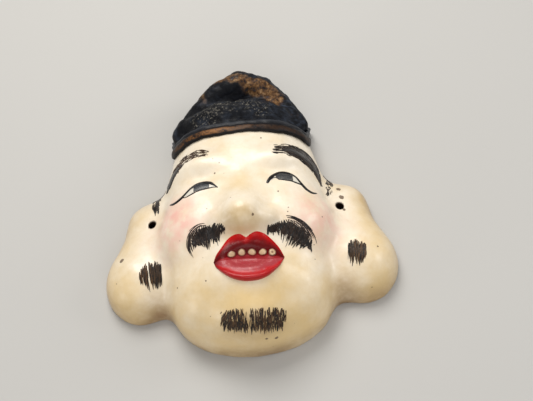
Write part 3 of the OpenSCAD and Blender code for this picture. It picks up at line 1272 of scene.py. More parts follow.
@dataclass(frozen=True)
class BandPaint:
    """The cap's roll: dark paint with an orange brown strip along its lower part and a painted grey
    highlight along its upper part.
    """

    black: Colour = paint(14, 14, 18)
    # Grey of the painted highlight along the top of the roll.
    grey: Colour = paint(66, 68, 74)
    orange: Colour = paint(140, 94, 50)
    dark: Colour = paint(16, 13, 12)

    def material(self) -> bpy.types.Material:
        """Makes the paint.

        Returns:
            The finished material.
        """
        r = Recipe("roll_paint", 0.4, 0.0, 0.2)
        lumps = r.noise(6.0, 4, 0.6, (1.0, 2.2, 1.0))
        fine = r.noise(1.0, 5, 0.7, shift=0.2)
        across = r.value("across")
        # Painted highlight: greyer towards the top of the roll.
        colour = r.mix(r.step(across, 0.55, 0.95, 0.7), self.black, self.grey)
        strip = r.sum("MULTIPLY", r.step(across, 0.06, 0.22), r.step(across, 0.55, 0.36))
        strip = r.sum("MULTIPLY", strip, r.value("rub"))
        strip = r.sum("MULTIPLY", strip, r.step(r.sum("ADD", lumps, fine), 0.75, 1.1))
        colour = r.mix(strip, colour, self.orange)
        colour = r.mix(r.step(across, 0.1, 0.03), colour, self.dark)
        r.colour(colour)
        r.gloss(fine, 0.28, 0.6)
        r.relief([(lumps, 0.3), (fine, 0.07)])
        return r.material


@dataclass(frozen=True)
class LipEnamel:
    """Glossy enamel that runs between three colours across a lip, with painted shade at its corners
    and, where its strength is set, a painted sheen of pale pink mottles.
    """

    name: str
    inner: Colour
    middle: Colour
    outer: Colour
    turn: float
    width: float
    # Strength of a painted sheen of pale pink mottles.
    painted_sheen: float = 0.0
    shine: float = 0.3
    # Pale pink of the painted sheen.
    sheen_pink: Colour = paint(226, 150, 148)
    # Dark red of the painted shade at the lip's corners.
    corner: Colour = paint(70, 8, 8)

    def material(self) -> bpy.types.Material:
        """Makes the enamel.

        Returns:
            The finished material.
        """
        r = Recipe(self.name, 0.3, 0.3 * self.shine, self.shine)
        clouds = r.noise(3.4, 4, 0.65)
        fine = r.noise(0.9, 4, 0.6, shift=0.5)
        uneven = r.sum("MULTIPLY", r.sum("SUBTRACT", clouds, 0.5), 0.5)
        across = r.sum("ADD", r.value("across"), uneven)
        half, start = self.width / 2, self.turn + 0.22
        colour = r.mix(r.step(across, 0.2, 0.2 + self.turn * 0.9), self.inner, self.middle)
        edge = r.step(across, start - half, start + half)
        colour = r.mix(edge, colour, self.outer)
        colour = r.mix(r.step(fine, 0.62, 0.85, 0.3), colour, self.inner)
        # Painted sheen: pale pink mottles over the lip's outer colour.
        painted_sheen = r.step(r.noise(2.2, 4, 0.7, shift=1.1), 0.5, 0.75, self.painted_sheen)
        colour = r.mix(r.sum("MULTIPLY", edge, painted_sheen), colour, self.sheen_pink)
        # Painted shade at the corners.
        colour = r.mix(r.value("corner"), colour, self.corner)
        r.colour(colour)
        r.gloss(fine, 0.2, 0.42)
        r.relief([(clouds, 0.12), (r.noise(1.4, 3, 0.5, (3.0, 1.0, 1.0)), 0.05)])
        return r.material


@dataclass(frozen=True)
class ToneEnamel:
    """Thin paint that runs between two colours by the shade kept at its points."""

    name: str
    dark: Colour
    light: Colour
    roughness: float = 0.4
    coat: float = 0.2
    shine: float = 0.5

    def material(self) -> bpy.types.Material:
        """Makes the paint.

        Returns:
            The finished material.
        """
        r = Recipe(self.name, self.roughness, self.coat, self.shine)
        grain = r.noise(0.7, 4, 0.7)
        tone = r.sum("ADD", r.value("tone"), r.sum("MULTIPLY", r.sum("SUBTRACT", grain, 0.5), 0.5))
        r.colour(r.mix(r.step(tone, 0.0, 1.0), self.dark, self.light))
        r.gloss(grain, self.roughness * 0.7, self.roughness * 1.4)
        r.relief([(grain, 0.03)])
        return r.material


BRUSH_INK = ToneEnamel("brush_ink", paint(16, 12, 11), paint(70, 47, 29), 0.3, 0.15, 0.35)
DRY_INK = ToneEnamel("dry_brush", paint(20, 15, 11), paint(120, 84, 48), 0.5, 0.15, 0.35)


@dataclass
class Clay:
    """The face, the two ears and the cap, made as one relief and parted at its joints."""

    kiln: Kiln
    bench: Bench
    painter: Painter
    ivory: IvoryPaint = IvoryPaint()
    black: CapPaint = CapPaint()
    face_block: tuple[Place, Place] = ((-65.1, -71.1, -2.1), (65, 48, 50))
    cap_block: tuple[Place, Place] = ((-37.1, 24.1, -2.1), (37, 72, 38))

    def build(self) -> None:
        """Makes the four pieces of clay."""
        relief = self.kiln.relief
        paint_on = self.ivory.material(self.painter, self.bench)
        points, quads = self.kiln.skin(relief.face_clay, *self.face_block)
        tilt = Vector((1, -relief.ear_joint_lean, 0)).normalized()
        left, right = Vector((-relief.ear_joint_x, 0, 0)), Vector((relief.ear_joint_x, 0, 0))
        outward = Vector((-tilt.x, tilt.y, 0))
        cuts = {
            "clay_face": ([(right, tilt), (left, outward)], "face_shell"),
            "clay_left_ear": ([(left, -outward)], "left_ear"),
            "clay_right_ear": ([(right, -tilt)], "right_ear"),
        }
        for name, (planes, node) in cuts.items():
            self.part(name, node, points, quads, planes, self.ivory.values, paint_on, Slot.IVORY)
        points, quads = self.kiln.skin(relief.cap_clay, *self.cap_block)
        self.part("clay_cap", "cap_crown", points, quads, [], self.black.values,
                  self.black.material(), Slot.CAP)

    def part(self, name: str, node: str, points: Array, quads: Array,
             planes: list[tuple[Vector, Vector]], values: Callable[[Array], dict[str, Array]],
             material: bpy.types.Material, slot: Slot) -> None:
        """Cuts one piece out of a relief and dresses it.

        Args:
            name: Name of the piece.
            node: The CAD node it stands for.
            points: Points of the whole relief.
            quads: Its quads.
            planes: Points and normals of planes, each of which takes away its far side.
            values: Works out the values kept at the points.
            material: What it is painted with.
            slot: The record's slot of that finish.
        """
        mesh = bpy.data.meshes.new(name)
        mesh.from_pydata(points.tolist(), [], quads.tolist())
        work = bmesh.new()
        work.from_mesh(mesh)
        self.mend(work)
        for face in work.faces:
            face.smooth = True
        for at, normal in planes:
            everything = work.verts[:] + work.edges[:] + work.faces[:]
            cut = bmesh.ops.bisect_plane(
                work, geom=everything, plane_co=at, plane_no=normal, dist=1e-4, clear_outer=True
            )
            rim = [e for e in cut["geom_cut"] if isinstance(e, bmesh.types.BMEdge)]
            bmesh.ops.triangle_fill(work, use_beauty=True, edges=rim)
            for edge in rim:
                edge.smooth = False
        bmesh.ops.recalc_face_normals(work, faces=work.faces[:])
        open_edges = sum(len(e.link_faces) != 2 for e in work.edges)
        work.to_mesh(mesh)
        work.free()
        if open_edges:
            LOG.warning("%s has %d edges that don't join two faces", name, open_edges)
        co = np.empty(len(mesh.vertices) * 3, np.float32)
        mesh.vertices.foreach_get("co", co)
        co = co.reshape(-1, 3)
        for key, row in values(co).items():
            self.bench.keep(mesh, key, row)
        mesh.vertices.foreach_set("co", self.bench.place(co).astype(np.float32).ravel())
        mesh.update()
        self.bench.finish(mesh, name, material, slot, node)

    def mend(self, work: bmesh.types.BMesh, rounds: int = 4) -> None:
        """Opens the few places where the skin touches itself and closes each side again.

        Args:
            work: The mesh.
            rounds: How many times to look for such places.
        """
        for _ in range(rounds):
            bad = {v for e in work.edges if len(e.link_faces) > 2 for v in e.verts}
            if not bad:
                return
            bmesh.ops.delete(work, geom=list(bad), context="VERTS")
            rim = [e for e in work.edges if len(e.link_faces) == 1]
            filled = bmesh.ops.holes_fill(work, edges=rim, sides=0)
            bmesh.ops.triangulate(work, faces=filled["faces"])
            loose = [e for e in work.edges if not e.link_faces]
            bmesh.ops.delete(work, geom=loose, context="EDGES")


@dataclass
class CapRoll:
    """The flattened roll that covers the joint between the face and the cap."""

    relief: Relief
    bench: Bench
    half_width: float = 2.9
    height: float = 1.0
    sink: float = 0.3
    reach: float = 60.0
    rounds: int = 5
    level: float = 1e-4
    steepest: float = 2.0
    steps: int = 260
    cols: int = 26
    finish: BandPaint = BandPaint()

    def build(self) -> None:
        """Makes the roll."""
        turn = np.linspace(0, math.pi, self.steps)
        way = np.stack([-np.cos(turn), np.zeros(self.steps), np.sin(turn)], -1)[:, None, :]
        t = np.linspace(-1, 1, self.cols)
        ragged = 0.3 * np.sin(turn * 17 + 1) * np.sin(turn * 7) + 0.15 * np.sin(turn * 41)
        wide = self.half_width + 0.25 * np.sin(turn) + 0.15 * np.sin(turn * 9 + 2)
        middle = np.full(self.steps, self.relief.forehead_y)
        for _ in range(self.rounds):
            depth = self.feet(way, middle[:, None])[:, 0, 2]
            middle = self.relief.cap_edge_y(depth)
        deeper = np.gradient(depth)
        steep = np.gradient(middle) / np.where(np.abs(deeper) < self.level, self.level, deeper)
        wide = wide * np.sqrt(1 + np.minimum(steep**2, self.steepest))
        y = middle[:, None] + wide[:, None] * t + ragged[:, None] * 0.5
        feet = self.feet(way, y)
        ups = np.broadcast_to(way, feet.shape)
        edge = np.sqrt(np.maximum(1 - np.abs(t) ** 4, 0))
        lip = 0.35 * np.exp(-(((t - 0.72) / 0.22) ** 2)) - 0.25 * np.exp(-(((t - 0.25) / 0.2) ** 2))
        swell = 1 + 0.25 * np.sin(turn * 5 + 0.6) * np.sin(turn * 11)
        lifts = 0.25 + self.height * swell[:, None] * (edge * (0.7 + lip))[None, :]
        across = np.broadcast_to((t + 1) / 2, lifts.shape)
        rub = (0.12 + 0.88 * np.exp(-(((turn - 1.2) / 0.4) ** 2)))[:, None] + 0 * lifts
        form = Form()
        sheet_film(form, feet, ups, lifts, self.sink, across=across, rub=rub)
        # Its grid's rows run up the roll, so the faces look inwards until they are turned.
        form.faces[0] = form.faces[0][:, ::-1]
        self.bench.lay(form, "cap_roll", self.finish.material(), Slot.CAP, "cap_band")

    def feet(self, way: Array, y: Array) -> Array:
        """Finds where level rays leave the face and cap.

        Args:
            way: The way that each ray points.
            y: Its height.

        Returns:
            A point of the skin for each.
        """
        start = np.zeros(y.shape + (3,))
        start[..., 1] = y
        return cast(self.relief.face_and_cap, start + way * self.reach, -way)


@dataclass(frozen=True)
class Mouth:
    """The two lips, the dark ground behind the teeth, and the row of teeth."""

    bench: Bench
    painter: Painter
    upper_top: tuple[Point, ...] = (
        (-12.4, -11.5), (-11.3, -8.9), (-9.4, -6.6), (-6.4, -3.2), (-3.6, -1.6), (-1.2, -1.5),
        (0.9, -2.9), (2.6, -1.9), (5.0, -1.1), (7.6, -2.0), (10.2, -4.4), (13.1, -8.2), (15.0, -12.1),
    )
    upper_low: tuple[Point, ...] = (
        (-12.2, -11.9), (-10.2, -9.8), (-7.0, -7.8), (-3, -7.0), (2.2, -7.1), (7.6, -7.7),
        (11.8, -9.3), (14.7, -12.4),
    )
    lower_inner: tuple[Point, ...] = (
        (-12.0, -11.6), (-9.6, -10.9), (-5.1, -10.9), (2.2, -11.3), (8.5, -12.0), (14.5, -12.2),
    )
    lower_outer: tuple[Point, ...] = (
        (-12.2, -12.0), (-11.0, -13.9), (-6.3, -17.3), (-1.9, -18.9), (1.5, -19.3), (5.0, -19.1),
        (8.4, -18.0), (12.6, -15.2), (14.8, -12.5),
    )
    teeth: tuple[tuple[float, float, float], ...] = (
        (-5.3, -8.9, 0.55), (-1.3, -8.5, 0.1), (2.7, -8.8, 0.0), (6.9, -9.2, 0.2), (10.4, -9.8, 0.45),
    )
    tooth_radius: float = 1.55
    tooth_rings: int = 7
    tooth_sides: int = 28
    tooth_hub: float = 0.08
    steps: int = 90
    cols: int = 26
    # Darker towards the teeth: the lip's own red with painted shade in the groove under it.
    upper: LipEnamel = LipEnamel(
        "vermilion_enamel", paint(94, 8, 10), paint(150, 10, 14), paint(196, 20, 14), 0.5, 0.5,
        shine=0.2,
    )
    # Rose lip with a painted sheen of pale pink mottles.
    lower: LipEnamel = LipEnamel(
        "rose_enamel", paint(176, 18, 22), paint(196, 34, 38), paint(172, 62, 68), 0.26, 0.3,
        painted_sheen=0.5,
    )
    # Darker towards the upper lip: its own dark red with painted shade under the lip.
    ground: LipEnamel = LipEnamel(
        "mouth_ground", paint(156, 40, 44), paint(116, 10, 14), paint(92, 8, 10), 0.3, 0.5,
        shine=0.1,
    )
    tooth: ToneEnamel = ToneEnamel(
        "tooth_paint", paint(112, 62, 46), paint(216, 186, 146), 0.3, 0.2
    )

    def lip(self, name: str, node: str, low: Sequence[Point], high: Sequence[Point],
            crown: Callable[[Array, Array], Array], enamel: LipEnamel, slot: Slot) -> None:
        """Makes one lip.

        Args:
            name: Name of the piece.
            node: The CAD node it stands for.
            low: Its lower outline.
            high: Its upper outline.
            crown: Gives the height from the share across and along.
            enamel: Its finish.
            slot: The record's slot of that finish.
        """
        grid = between(low, high, self.steps, self.cols)
        t, s = np.meshgrid(np.linspace(0, 1, self.cols), np.linspace(0, 1, self.steps), indexing="ij")
        bow = 1 - np.abs(2 * s - 1) ** 3
        lifts = 0.12 + crown(t, s) * bow
        form = Form()
        # Painted shade at the mouth's corners, stronger at the left.
        corner = np.exp(-((s / 0.07) ** 2)) * 0.8 + np.exp(-(((1 - s) / 0.04) ** 2)) * 0.4
        self.painter.film(form, grid, lifts, 0.1, across=t, corner=corner)
        self.bench.lay(form, name, enamel.material(), slot, node)

    def upper_crown(self, t: Array, s: Array) -> Array:
        """Gives the upper lip's height, thickest towards its upper edge."""
        return 0.75 * smooth_step(0.1, 0.9, t) * np.sqrt(1 - t)

    def lower_crown(self, t: Array, s: Array) -> Array:
        """Gives the lower lip's height.

        Args:
            t: Share from its outer to its inner edge.
            s: Share along it.

        Returns:
            A height with a full roll near its outer edge and a low one inside.
        """
        roll = 1.8 * np.exp(-(((t - 0.2) / 0.18) ** 2)) * (1 - (1 - np.minimum(t / 0.1, 1)) ** 2)
        return roll + 0.5 * smooth_step(0.3, 0.8, t) * (1 - t)

    def build(self) -> None:
        """Makes the pieces of the mouth."""
        self.lip("lip_upper", "upper_lip", self.upper_low, self.upper_top, self.upper_crown,
                 self.upper, Slot.VERMILION)
        self.lip("lip_lower", "lower_lip", self.lower_outer, self.lower_inner, self.lower_crown,
                 self.lower, Slot.ROSE)
        self.lip("mouth_ground", "mouth_bed", self.lower_inner, self.upper_low,
                 lambda t, s: 0.0 * t, self.ground, Slot.ROSE)
        self.tooth_row()

    def tooth_row(self) -> None:
        """Makes the row of teeth as dots of thick paint."""
        form = Form()
        rings, sides = self.tooth_rings, self.tooth_sides
        n = rings * sides
        at = np.arange(n).reshape(rings, sides)
        after = np.roll(at, -1, axis=1)
        wall = np.stack([at[:-1], after[:-1], after[1:], at[1:]], -1).reshape(-1, 4)
        side = np.stack([at[0] + n, after[0] + n, after[0], at[0]], -1)
        tip, foot = np.full(sides, 2 * n), np.full(sides, 2 * n + 1)
        fan = np.stack([at[-1], after[-1], tip, tip], -1)
        base = np.stack([after[-1] + n, at[-1] + n, foot, foot], -1)
        quads = np.concatenate([wall, wall[:, ::-1] + n, side, fan, base])
        r = np.linspace(1, self.tooth_hub, rings)[:, None]
        turn = np.linspace(0, 2 * math.pi, sides + 1)[None, :]
        for u, v, grey in self.teeth:
            uneven = 1 + 0.06 * np.sin(2 * turn + u) + 0.04 * np.sin(3 * turn + v)
            radius = self.tooth_radius * uneven * r
            places = np.stack([u + radius * np.cos(turn), v + 0.86 * radius * np.sin(turn)], -1)
            feet = self.painter.touch(places[:, :-1])
            ups = np.broadcast_to(unit(slope_of(self.painter.solid, feet)).mean((0, 1)), feet.shape)
            lifts = 0.35 + 0.5 * np.sqrt(np.maximum(1 - r * r, 0)) - 0.12 * grey * (r < 0.4)
            over = feet + ups * np.broadcast_to(lifts, feet.shape[:2])[..., None]
            under = feet - ups * 0.2
            hub = [over[-1].mean(0), under[-1].mean(0)]
            points = np.concatenate([over.reshape(-1, 3), under.reshape(-1, 3), hub])
            ring = np.broadcast_to(r, feet.shape[:2]).reshape(-1)
            out = np.concatenate([ring, ring, [0, 0]])
            hole = 0.5 * (grey > 0.4) * (u > 0) * (out < 0.3)
            tone = np.clip(1 - smooth_step(0.62, 1.0, out) * 0.8 - grey * 0.5 - hole, 0, 1)
            form.add(points, quads, tone=tone)
        self.bench.lay(form, "tooth_row", self.tooth.material(), Slot.TOOTH, "teeth")


@dataclass(frozen=True)
class Tuft:
    """Hair painted with a brush: a core and many single strokes along a bowed spine.

    The spine's points are [across, up, half width]. Each stroke starts at a share along the
    spine and a share across it, from -1 below to 1 above, and runs by further shares.
    """

    spine: tuple[Place, ...]
    strokes: int
    start_along: Point
    start_across: Point
    run_along: Point
    run_across: Point
    width: Point
    bend: float
    core: tuple[Place, ...] = ()
    core_height: float = 0.1
    gaps: tuple[Point, ...] = ()
    tones: Point = (0.0, 0.6)
    seed: int = 1
    line_points: int = 121
    stroke_points: int = 8
    core_grid: tuple[int, int] = (44, 13)

    def at(self, along: Array, across: Array) -> Array:
        """Turns shares along and across the spine into places, past its ends too.

        Args:
            along: Shares along the spine.
            across: Shares of its half width, -1 below to 1 above.

        Returns:
            A place for each.
        """
        line = through(self.spine, self.line_points)
        k = np.linspace(0, 1, self.line_points)
        way = unit(np.gradient(line[:, :2], axis=0))
        side = np.stack([-way[:, 1], way[:, 0]], -1)
        if abs(way[:, 0].mean()) > 0.3:
            side = side * np.sign(way[:, 0].mean())
        inside = np.clip(along, 0, 1)
        out = np.empty(np.shape(along) + (2,))
        length = np.linalg.norm(np.diff(line[:, :2], axis=0), axis=1).sum()
        for axis in range(2):
            over = (along - inside) * length * np.interp(inside, k, way[:, axis])
            half = np.interp(inside, k, line[:, 2]) * across
            out[..., axis] = (np.interp(inside, k, line[:, axis]) + over
                              + half * np.interp(inside, k, side[:, axis]))
        return out

    def paint(self, form: Form, painter: Painter) -> None:
        """Paints the tuft.

        Args:
            form: The piece that it belongs to.
            painter: Lays it on the relief.
        """
        rng = np.random.default_rng(self.seed)
        for first, last, share in self.core:
            cols, rows = self.core_grid
            s, t = np.meshgrid(np.linspace(first, last, cols), np.linspace(-1, 1, rows))
            rough = 1 + 0.07 * np.sin(s * 61 + self.seed) + 0.05 * np.sin(s * 137)
            ends = np.sqrt(np.clip(1 - np.abs((2 * s - first - last) / (last - first)) ** 4, 0, 1))
            places = self.at(s, t * share * rough * (0.12 + 0.88 * ends))
            lifts = 0.1 + self.core_height * (1 - t**2) * ends
            if self.spine[0][0] > self.spine[-1][0]:
                places, lifts = places[:, ::-1], lifts[:, ::-1]
            painter.film(form, places, lifts, 0.06, tone=0.05 + 0 * s)
        n = self.strokes
        s0 = rng.uniform(*self.start_along, n)
        keep = np.ones(n, bool)
        for middle, wide in self.gaps:
            keep &= np.abs(s0 - middle) > wide * rng.uniform(0.5, 1.0, n)
        t0 = rng.uniform(*self.start_across, n)
        ds = rng.uniform(*self.run_along, n)
        dt = rng.uniform(*self.run_across, n)
        curl = rng.uniform(-1, 1, n) * self.bend
        k = np.linspace(0, 1, self.stroke_points)[None, :]
        along = s0[:, None] + ds[:, None] * k
        across = t0[:, None] + dt[:, None] * k + curl[:, None] * k * (1 - k)
        half = rng.uniform(*self.width, n)[:, None] * np.sin(np.pi * (0.12 + 0.84 * k)) ** 0.6
        tall = 0.12 + 0.5 * half * rng.uniform(0.5, 1.2, n)[:, None]
        tones = rng.uniform(*self.tones, n)
        painter.strokes(form, self.at(along, across)[keep], half[keep], tall[keep], tones[keep])


@dataclass(frozen=True)
class Hair:
    """The brows, moustaches, beard, locks and jaw tufts, each a painted piece."""

    bench: Bench
    painter: Painter
    tufts: dict[str, tuple[str, tuple[Tuft, ...]]] = field(default_factory=lambda: {
        "moustache_left": ("left_moustache", (
            Tuft(((-8.6, 0.9, 0.8), (-10.6, 0.6, 2.5), (-13.5, -0.2, 3.4), (-16.6, -0.7, 3.5),
                  (-19.2, -2.2, 2.5), (-20.6, -4.6, 0.9)),
                 230, (-0.02, 0.95), (-0.2, 1.1), (0.0, 0.12), (-1.8, -0.7), (0.13, 0.3), 0.4,
                 ((0.06, 0.9, 0.64),), tones=(0.0, 0.5), seed=11),
            Tuft(((-6.9, 1.4, 0.9), (-8.6, 1.4, 2.0), (-12, 3.0, 1.0)), 26, (0.0, 0.9), (0.5, 1.1),
                 (-0.04, 0.1), (-2.2, -1.1), (0.18, 0.32), 0.2, tones=(0.0, 0.35), seed=12),
            Tuft(((-13, 3.4, 0.6), (-17.6, 2.6, 1.0), (-21.0, -0.6, 1.2), (-21.8, -5.2, 1.3),
                  (-20.6, -9.0, 1.2)),
                 22, (0.05, 0.55), (-1.4, 1.0), (0.25, 0.5), (-0.6, 0.5), (0.12, 0.26), 0.5,
                 tones=(0.05, 0.6), seed=13),
        )),
        "moustache_right": ("right_moustache", (
            Tuft(((12.6, 0.2, 1.0), (15.4, -0.5, 2.8), (18.8, -2.2, 3.7), (22.0, -4.8, 3.5),
                  (24.4, -7.8, 2.2), (25.4, -9.8, 0.6)),
                 230, (-0.02, 0.97), (-0.2, 1.1), (-0.02, 0.16), (-1.7, -0.6), (0.13, 0.3), 0.4,
                 ((0.05, 0.92, 0.64),), tones=(0.0, 0.6), seed=21),
            Tuft(((9.4, -0.6, 1.5), (11.4, -1.0, 1.9), (13.4, -0.4, 1.6)), 40, (0.0, 0.95), (0.3, 1.1),
                 (-0.1, 0.15), (-2.0, -0.9), (0.17, 0.32), 0.2, ((0.1, 0.9, 0.7),),
                 tones=(0.0, 0.5), seed=22),
            Tuft(((16.6, 3.3, 0.5), (20.6, 2.0, 0.9), (24.4, -1.6, 1.1), (26.6, -6.2, 1.3),
                  (27.0, -10.6, 1.3)),
                 22, (0.02, 0.55), (-1.3, 1.0), (0.25, 0.5), (-0.5, 0.5), (0.12, 0.26), 0.5,
                 tones=(0.05, 0.6), seed=23),
        )),
        "brow_right": ("right_eyebrow", (
            Tuft(((15.6, 31.3, 1.9), (20.3, 30.7, 2.5), (25.5, 28.4, 2.6), (29.4, 24.4, 2.2),
                  (32.0, 19.6, 1.3), (33.0, 15.2, 0.4)),
                 230, (-0.06, 0.9), (-0.95, 0.95), (0.06, 0.2), (-0.15, 0.15), (0.1, 0.22), 0.15,
                 ((0.1, 0.97, 0.8),), 0.06, seed=31),
        )),
        "brow_left": ("left_eyebrow", (
            Tuft(((-12.2, 32.2, 1.2), (-17.4, 32.7, 1.9), (-22.5, 31.2, 1.9), (-26.6, 27.9, 1.6),
                  (-30.2, 23.2, 1.3), (-33.3, 17.4, 0.4)),
                 120, (0.0, 0.6), (-0.9, 0.9), (0.03, 0.12), (-0.3, 0.3), (0.12, 0.3), 0.3,
                 gaps=((0.12, 0.03), (0.3, 0.02)), tones=(0.5, 1.0), seed=32),
            Tuft(((-23.4, 29.4, 0.6), (-26.8, 26.6, 1.2), (-30.3, 22.6, 1.3), (-33.0, 17.6, 0.4)),
                 60, (0.0, 0.9), (-1.0, 1.0), (0.05, 0.2), (-0.2, 0.2), (0.13, 0.26), 0.2,
                 ((0.12, 0.98, 0.8),), 0.14, tones=(0.0, 0.35), seed=33),
        )),
        "beard_chin": ("chin_beard", (
            Tuft(((-11.8, -33.0, 2.6), (-7.5, -34.2, 4.0), (-1, -34.8, 4.2), (6, -35.2, 4.2),
                  (11, -35.8, 3.8), (13.0, -36.2, 2.8)),
                 330, (0.0, 1.0), (0.1, 1.35), (-0.02, 0.02), (-1.3, -0.3), (0.12, 0.3), 0.15,
                 gaps=((0.44, 0.03), (0.2, 0.01), (0.71, 0.012)), seed=41),
            Tuft(((-11.0, -34.8, 2.0), (-1, -36.4, 2.4), (12.0, -37.4, 2.0)),
                 200, (0.0, 1.0), (-0.2, 1.0), (-0.01, 0.01), (-1.6, -0.3), (0.12, 0.3), 0.15,
                 gaps=((0.45, 0.03),), tones=(0.0, 0.5), seed=42),
        )),
        "lock_left": ("left_temple_lock", (
            Tuft(((-36.6, 22.4, 0.6), (-38.0, 17.5, 1.0), (-38.4, 13.5, 1.4), (-38.0, 10.2, 0.8)),
                 130, (0.0, 0.95), (-1.2, 1.2), (0.05, 0.2), (-0.5, 0.5), (0.2, 0.46), 0.4,
                 gaps=((0.42, 0.03),), seed=51),
        )),
        "lock_right": ("right_temple_lock", (
            Tuft(((37.3, 20.0, 0.7), (37.4, 15.5, 1.2), (36.4, 12, 1.1), (35.6, 9.8, 0.7)),
                 80, (0.0, 0.95), (-1.1, 1.1), (0.03, 0.12), (-0.8, 0.8), (0.18, 0.4), 0.4,
                 gaps=((0.6, 0.05),), tones=(0.0, 0.8), seed=52),
        )),
        "tuft_left": ("left_jaw_tuft", (
            Tuft(((-44.4, -15.2, 2.6), (-41.6, -14.9, 4.8), (-38.4, -14.6, 5.2), (-35.8, -14.6, 3.4)),
                 150, (0.0, 1.0), (0.0, 1.0), (-0.06, 0.02), (-1.5, -0.5), (0.12, 0.32), 0.15,
                 gaps=((0.42, 0.05),), seed=61),
            Tuft(((-38.4, -14.6, 4.8), (-35.8, -14.6, 3.6)), 60, (0.0, 1.0), (0.0, 1.0), (-0.1, 0.1),
                 (-1.6, -0.8), (0.2, 0.4), 0.1, tones=(0.0, 0.3), seed=63),
        )),
        "tuft_right": ("right_jaw_tuft", (
            Tuft(((40.6, -13.0, 3.6), (43.0, -13.4, 4.6), (45.6, -13.8, 4.2), (48.0, -14.4, 2.6)),
                 160, (0.0, 1.0), (0.0, 1.0), (-0.02, 0.08), (-1.5, -0.5), (0.12, 0.32), 0.15,
                 seed=62),
        )),
    })

    def build(self) -> None:
        """Makes every painted piece of hair."""
        glossy, dry = BRUSH_INK.material(), DRY_INK.material()
        for name, (node, tufts) in self.tufts.items():
            form = Form()
            for tuft in tufts:
                tuft.paint(form, self.painter)
            finish = dry if name.startswith(("tuft", "beard")) else glossy
            self.bench.lay(form, name, finish, Slot.INK, node)


@dataclass(frozen=True)
class Eye:
    """One painted eye.

    Its lines' points are [across, up, half width]. Each patch has a shade, 0 for slate and 1
    for white, and its lower and upper outlines from left to right.
    """

    side: str
    lines: tuple[tuple[Place, ...], ...]
    patches: tuple[tuple[float, tuple[Point, ...], tuple[Point, ...]], ...]


@dataclass(frozen=True)
class Eyes:
    """The lines of both eyes and their slate irises with small white corners."""

    bench: Bench
    painter: Painter
    widen: float = 1.75
    steps: int = 60
    film: float = 0.08
    film_grid: tuple[int, int] = (30, 9)
    slate: ToneEnamel = ToneEnamel(
        "slate_paint", paint(36, 40, 46), paint(222, 216, 202), 0.32, 0.2
    )
    eyes: tuple[Eye, ...] = (
        Eye("left", (
            ((-9.0, 17.6, 0.12), (-10.4, 18.6, 0.3), (-12.2, 19.8, 0.45), (-15, 20.3, 0.5),
             (-18.2, 19.6, 0.5), (-21.0, 17.8, 0.42), (-23.6, 15.5, 0.42), (-26.2, 13.7, 0.45),
             (-28.4, 12.7, 0.42), (-30.2, 12.5, 0.2)),
            ((-24.2, 14.9, 0.1), (-22.6, 14.9, 0.14), (-20.4, 15.8, 0.18), (-18.6, 16.6, 0.22)),
            ((-18.6, 16.6, 0.15), (-16, 17.3, 0.2), (-12.8, 17.7, 0.2), (-10.6, 17.9, 0.16),
             (-9.0, 17.6, 0.1)),
        ), (
            (0.12, ((-19.2, 16.8), (-16, 17.4), (-12.6, 17.9)),
             ((-19.2, 18.8), (-16, 19.9), (-12.6, 19.4))),
            (1.0, ((-12.6, 17.9), (-11.2, 18.0), (-10.0, 17.9)),
             ((-12.6, 19.2), (-11.2, 18.7), (-10.0, 18.1))),
            (1.0, ((-23.4, 15.1), (-21.4, 15.6), (-19.2, 16.7)),
             ((-23.4, 15.4), (-21.4, 17.2), (-19.2, 18.5))),
        )),
        Eye("right", (
            ((10.9, 17.3, 0.3), (11.6, 18.3, 0.45), (13.4, 20.0, 0.55), (16.2, 21.1, 0.5),
             (19.4, 20.7, 0.45), (22.2, 19.0, 0.42), (24.4, 16.0, 0.42), (26.4, 13.3, 0.45),
             (28.6, 11.6, 0.4), (30.6, 11.1, 0.16)),
            ((11.2, 17.5, 0.15), (12.6, 18.7, 0.22), (14.4, 19.3, 0.2), (16.0, 18.2, 0.2)),
            ((15.6, 18.4, 0.15), (18.0, 17.9, 0.2), (20.6, 17.2, 0.2), (22.4, 16.4, 0.25),
             (24.8, 15.1, 0.2)),
        ), (
            (0.12, ((14.6, 18.9), (17.4, 18.0), (21.4, 17.2)),
             ((14.6, 20.2), (17.4, 20.9), (21.4, 19.4))),
            (1.0, ((11.6, 17.6), (13.0, 18.4), (14.4, 18.9)),
             ((11.6, 17.9), (13.0, 19.3), (14.4, 20.1))),
            (1.0, ((21.4, 17.0), (22.8, 16.4), (24.2, 15.8)),
             ((21.4, 19.2), (22.8, 18.0), (24.2, 16.1))),
        )),
    )

    def line(self, form: Form, points: Sequence[Place]) -> None:
        """Paints one brush line.

        Args:
            form: The piece that it belongs to.
            points: Its points.
        """
        path = through(points, self.steps)[None]
        half = self.widen * path[..., 2]
        self.painter.strokes(form, path[..., :2], half, 0.06 + 0.16 * half, np.zeros(1))

    def patch(self, form: Form, tone: float, low: Sequence[Point], high: Sequence[Point]) -> None:
        """Paints one patch between two outlines, a little lighter towards its lower one.

        Args:
            form: The piece that it belongs to.
            tone: Its shade.
            low: The lower outline.
            high: The upper outline.
        """
        steps, rows = self.film_grid
        grid = between(low, high, steps, rows)
        fade = 0.25 * (0.5 - np.linspace(0, 1, rows)[:, None])
        shade = np.broadcast_to(tone + fade, grid.shape[:2])
        self.painter.film(form, grid, np.full(grid.shape[:2], self.film), 0.05, tone=shade)

    def build(self) -> None:
        """Makes the four pieces of the eyes."""
        ink, slate = BRUSH_INK.material(), self.slate.material()
        for eye in self.eyes:
            form = Form()
            for points in eye.lines:
                self.line(form, points)
            self.bench.lay(form, f"eye_line_{eye.side}", ink, Slot.INK, f"{eye.side}_eye_line")
        for eye in self.eyes:
            form = Form()
            for tone, low, high in eye.patches:
                self.patch(form, tone, low, high)
            self.bench.lay(form, f"iris_{eye.side}", slate, Slot.SLATE, f"{eye.side}_iris")


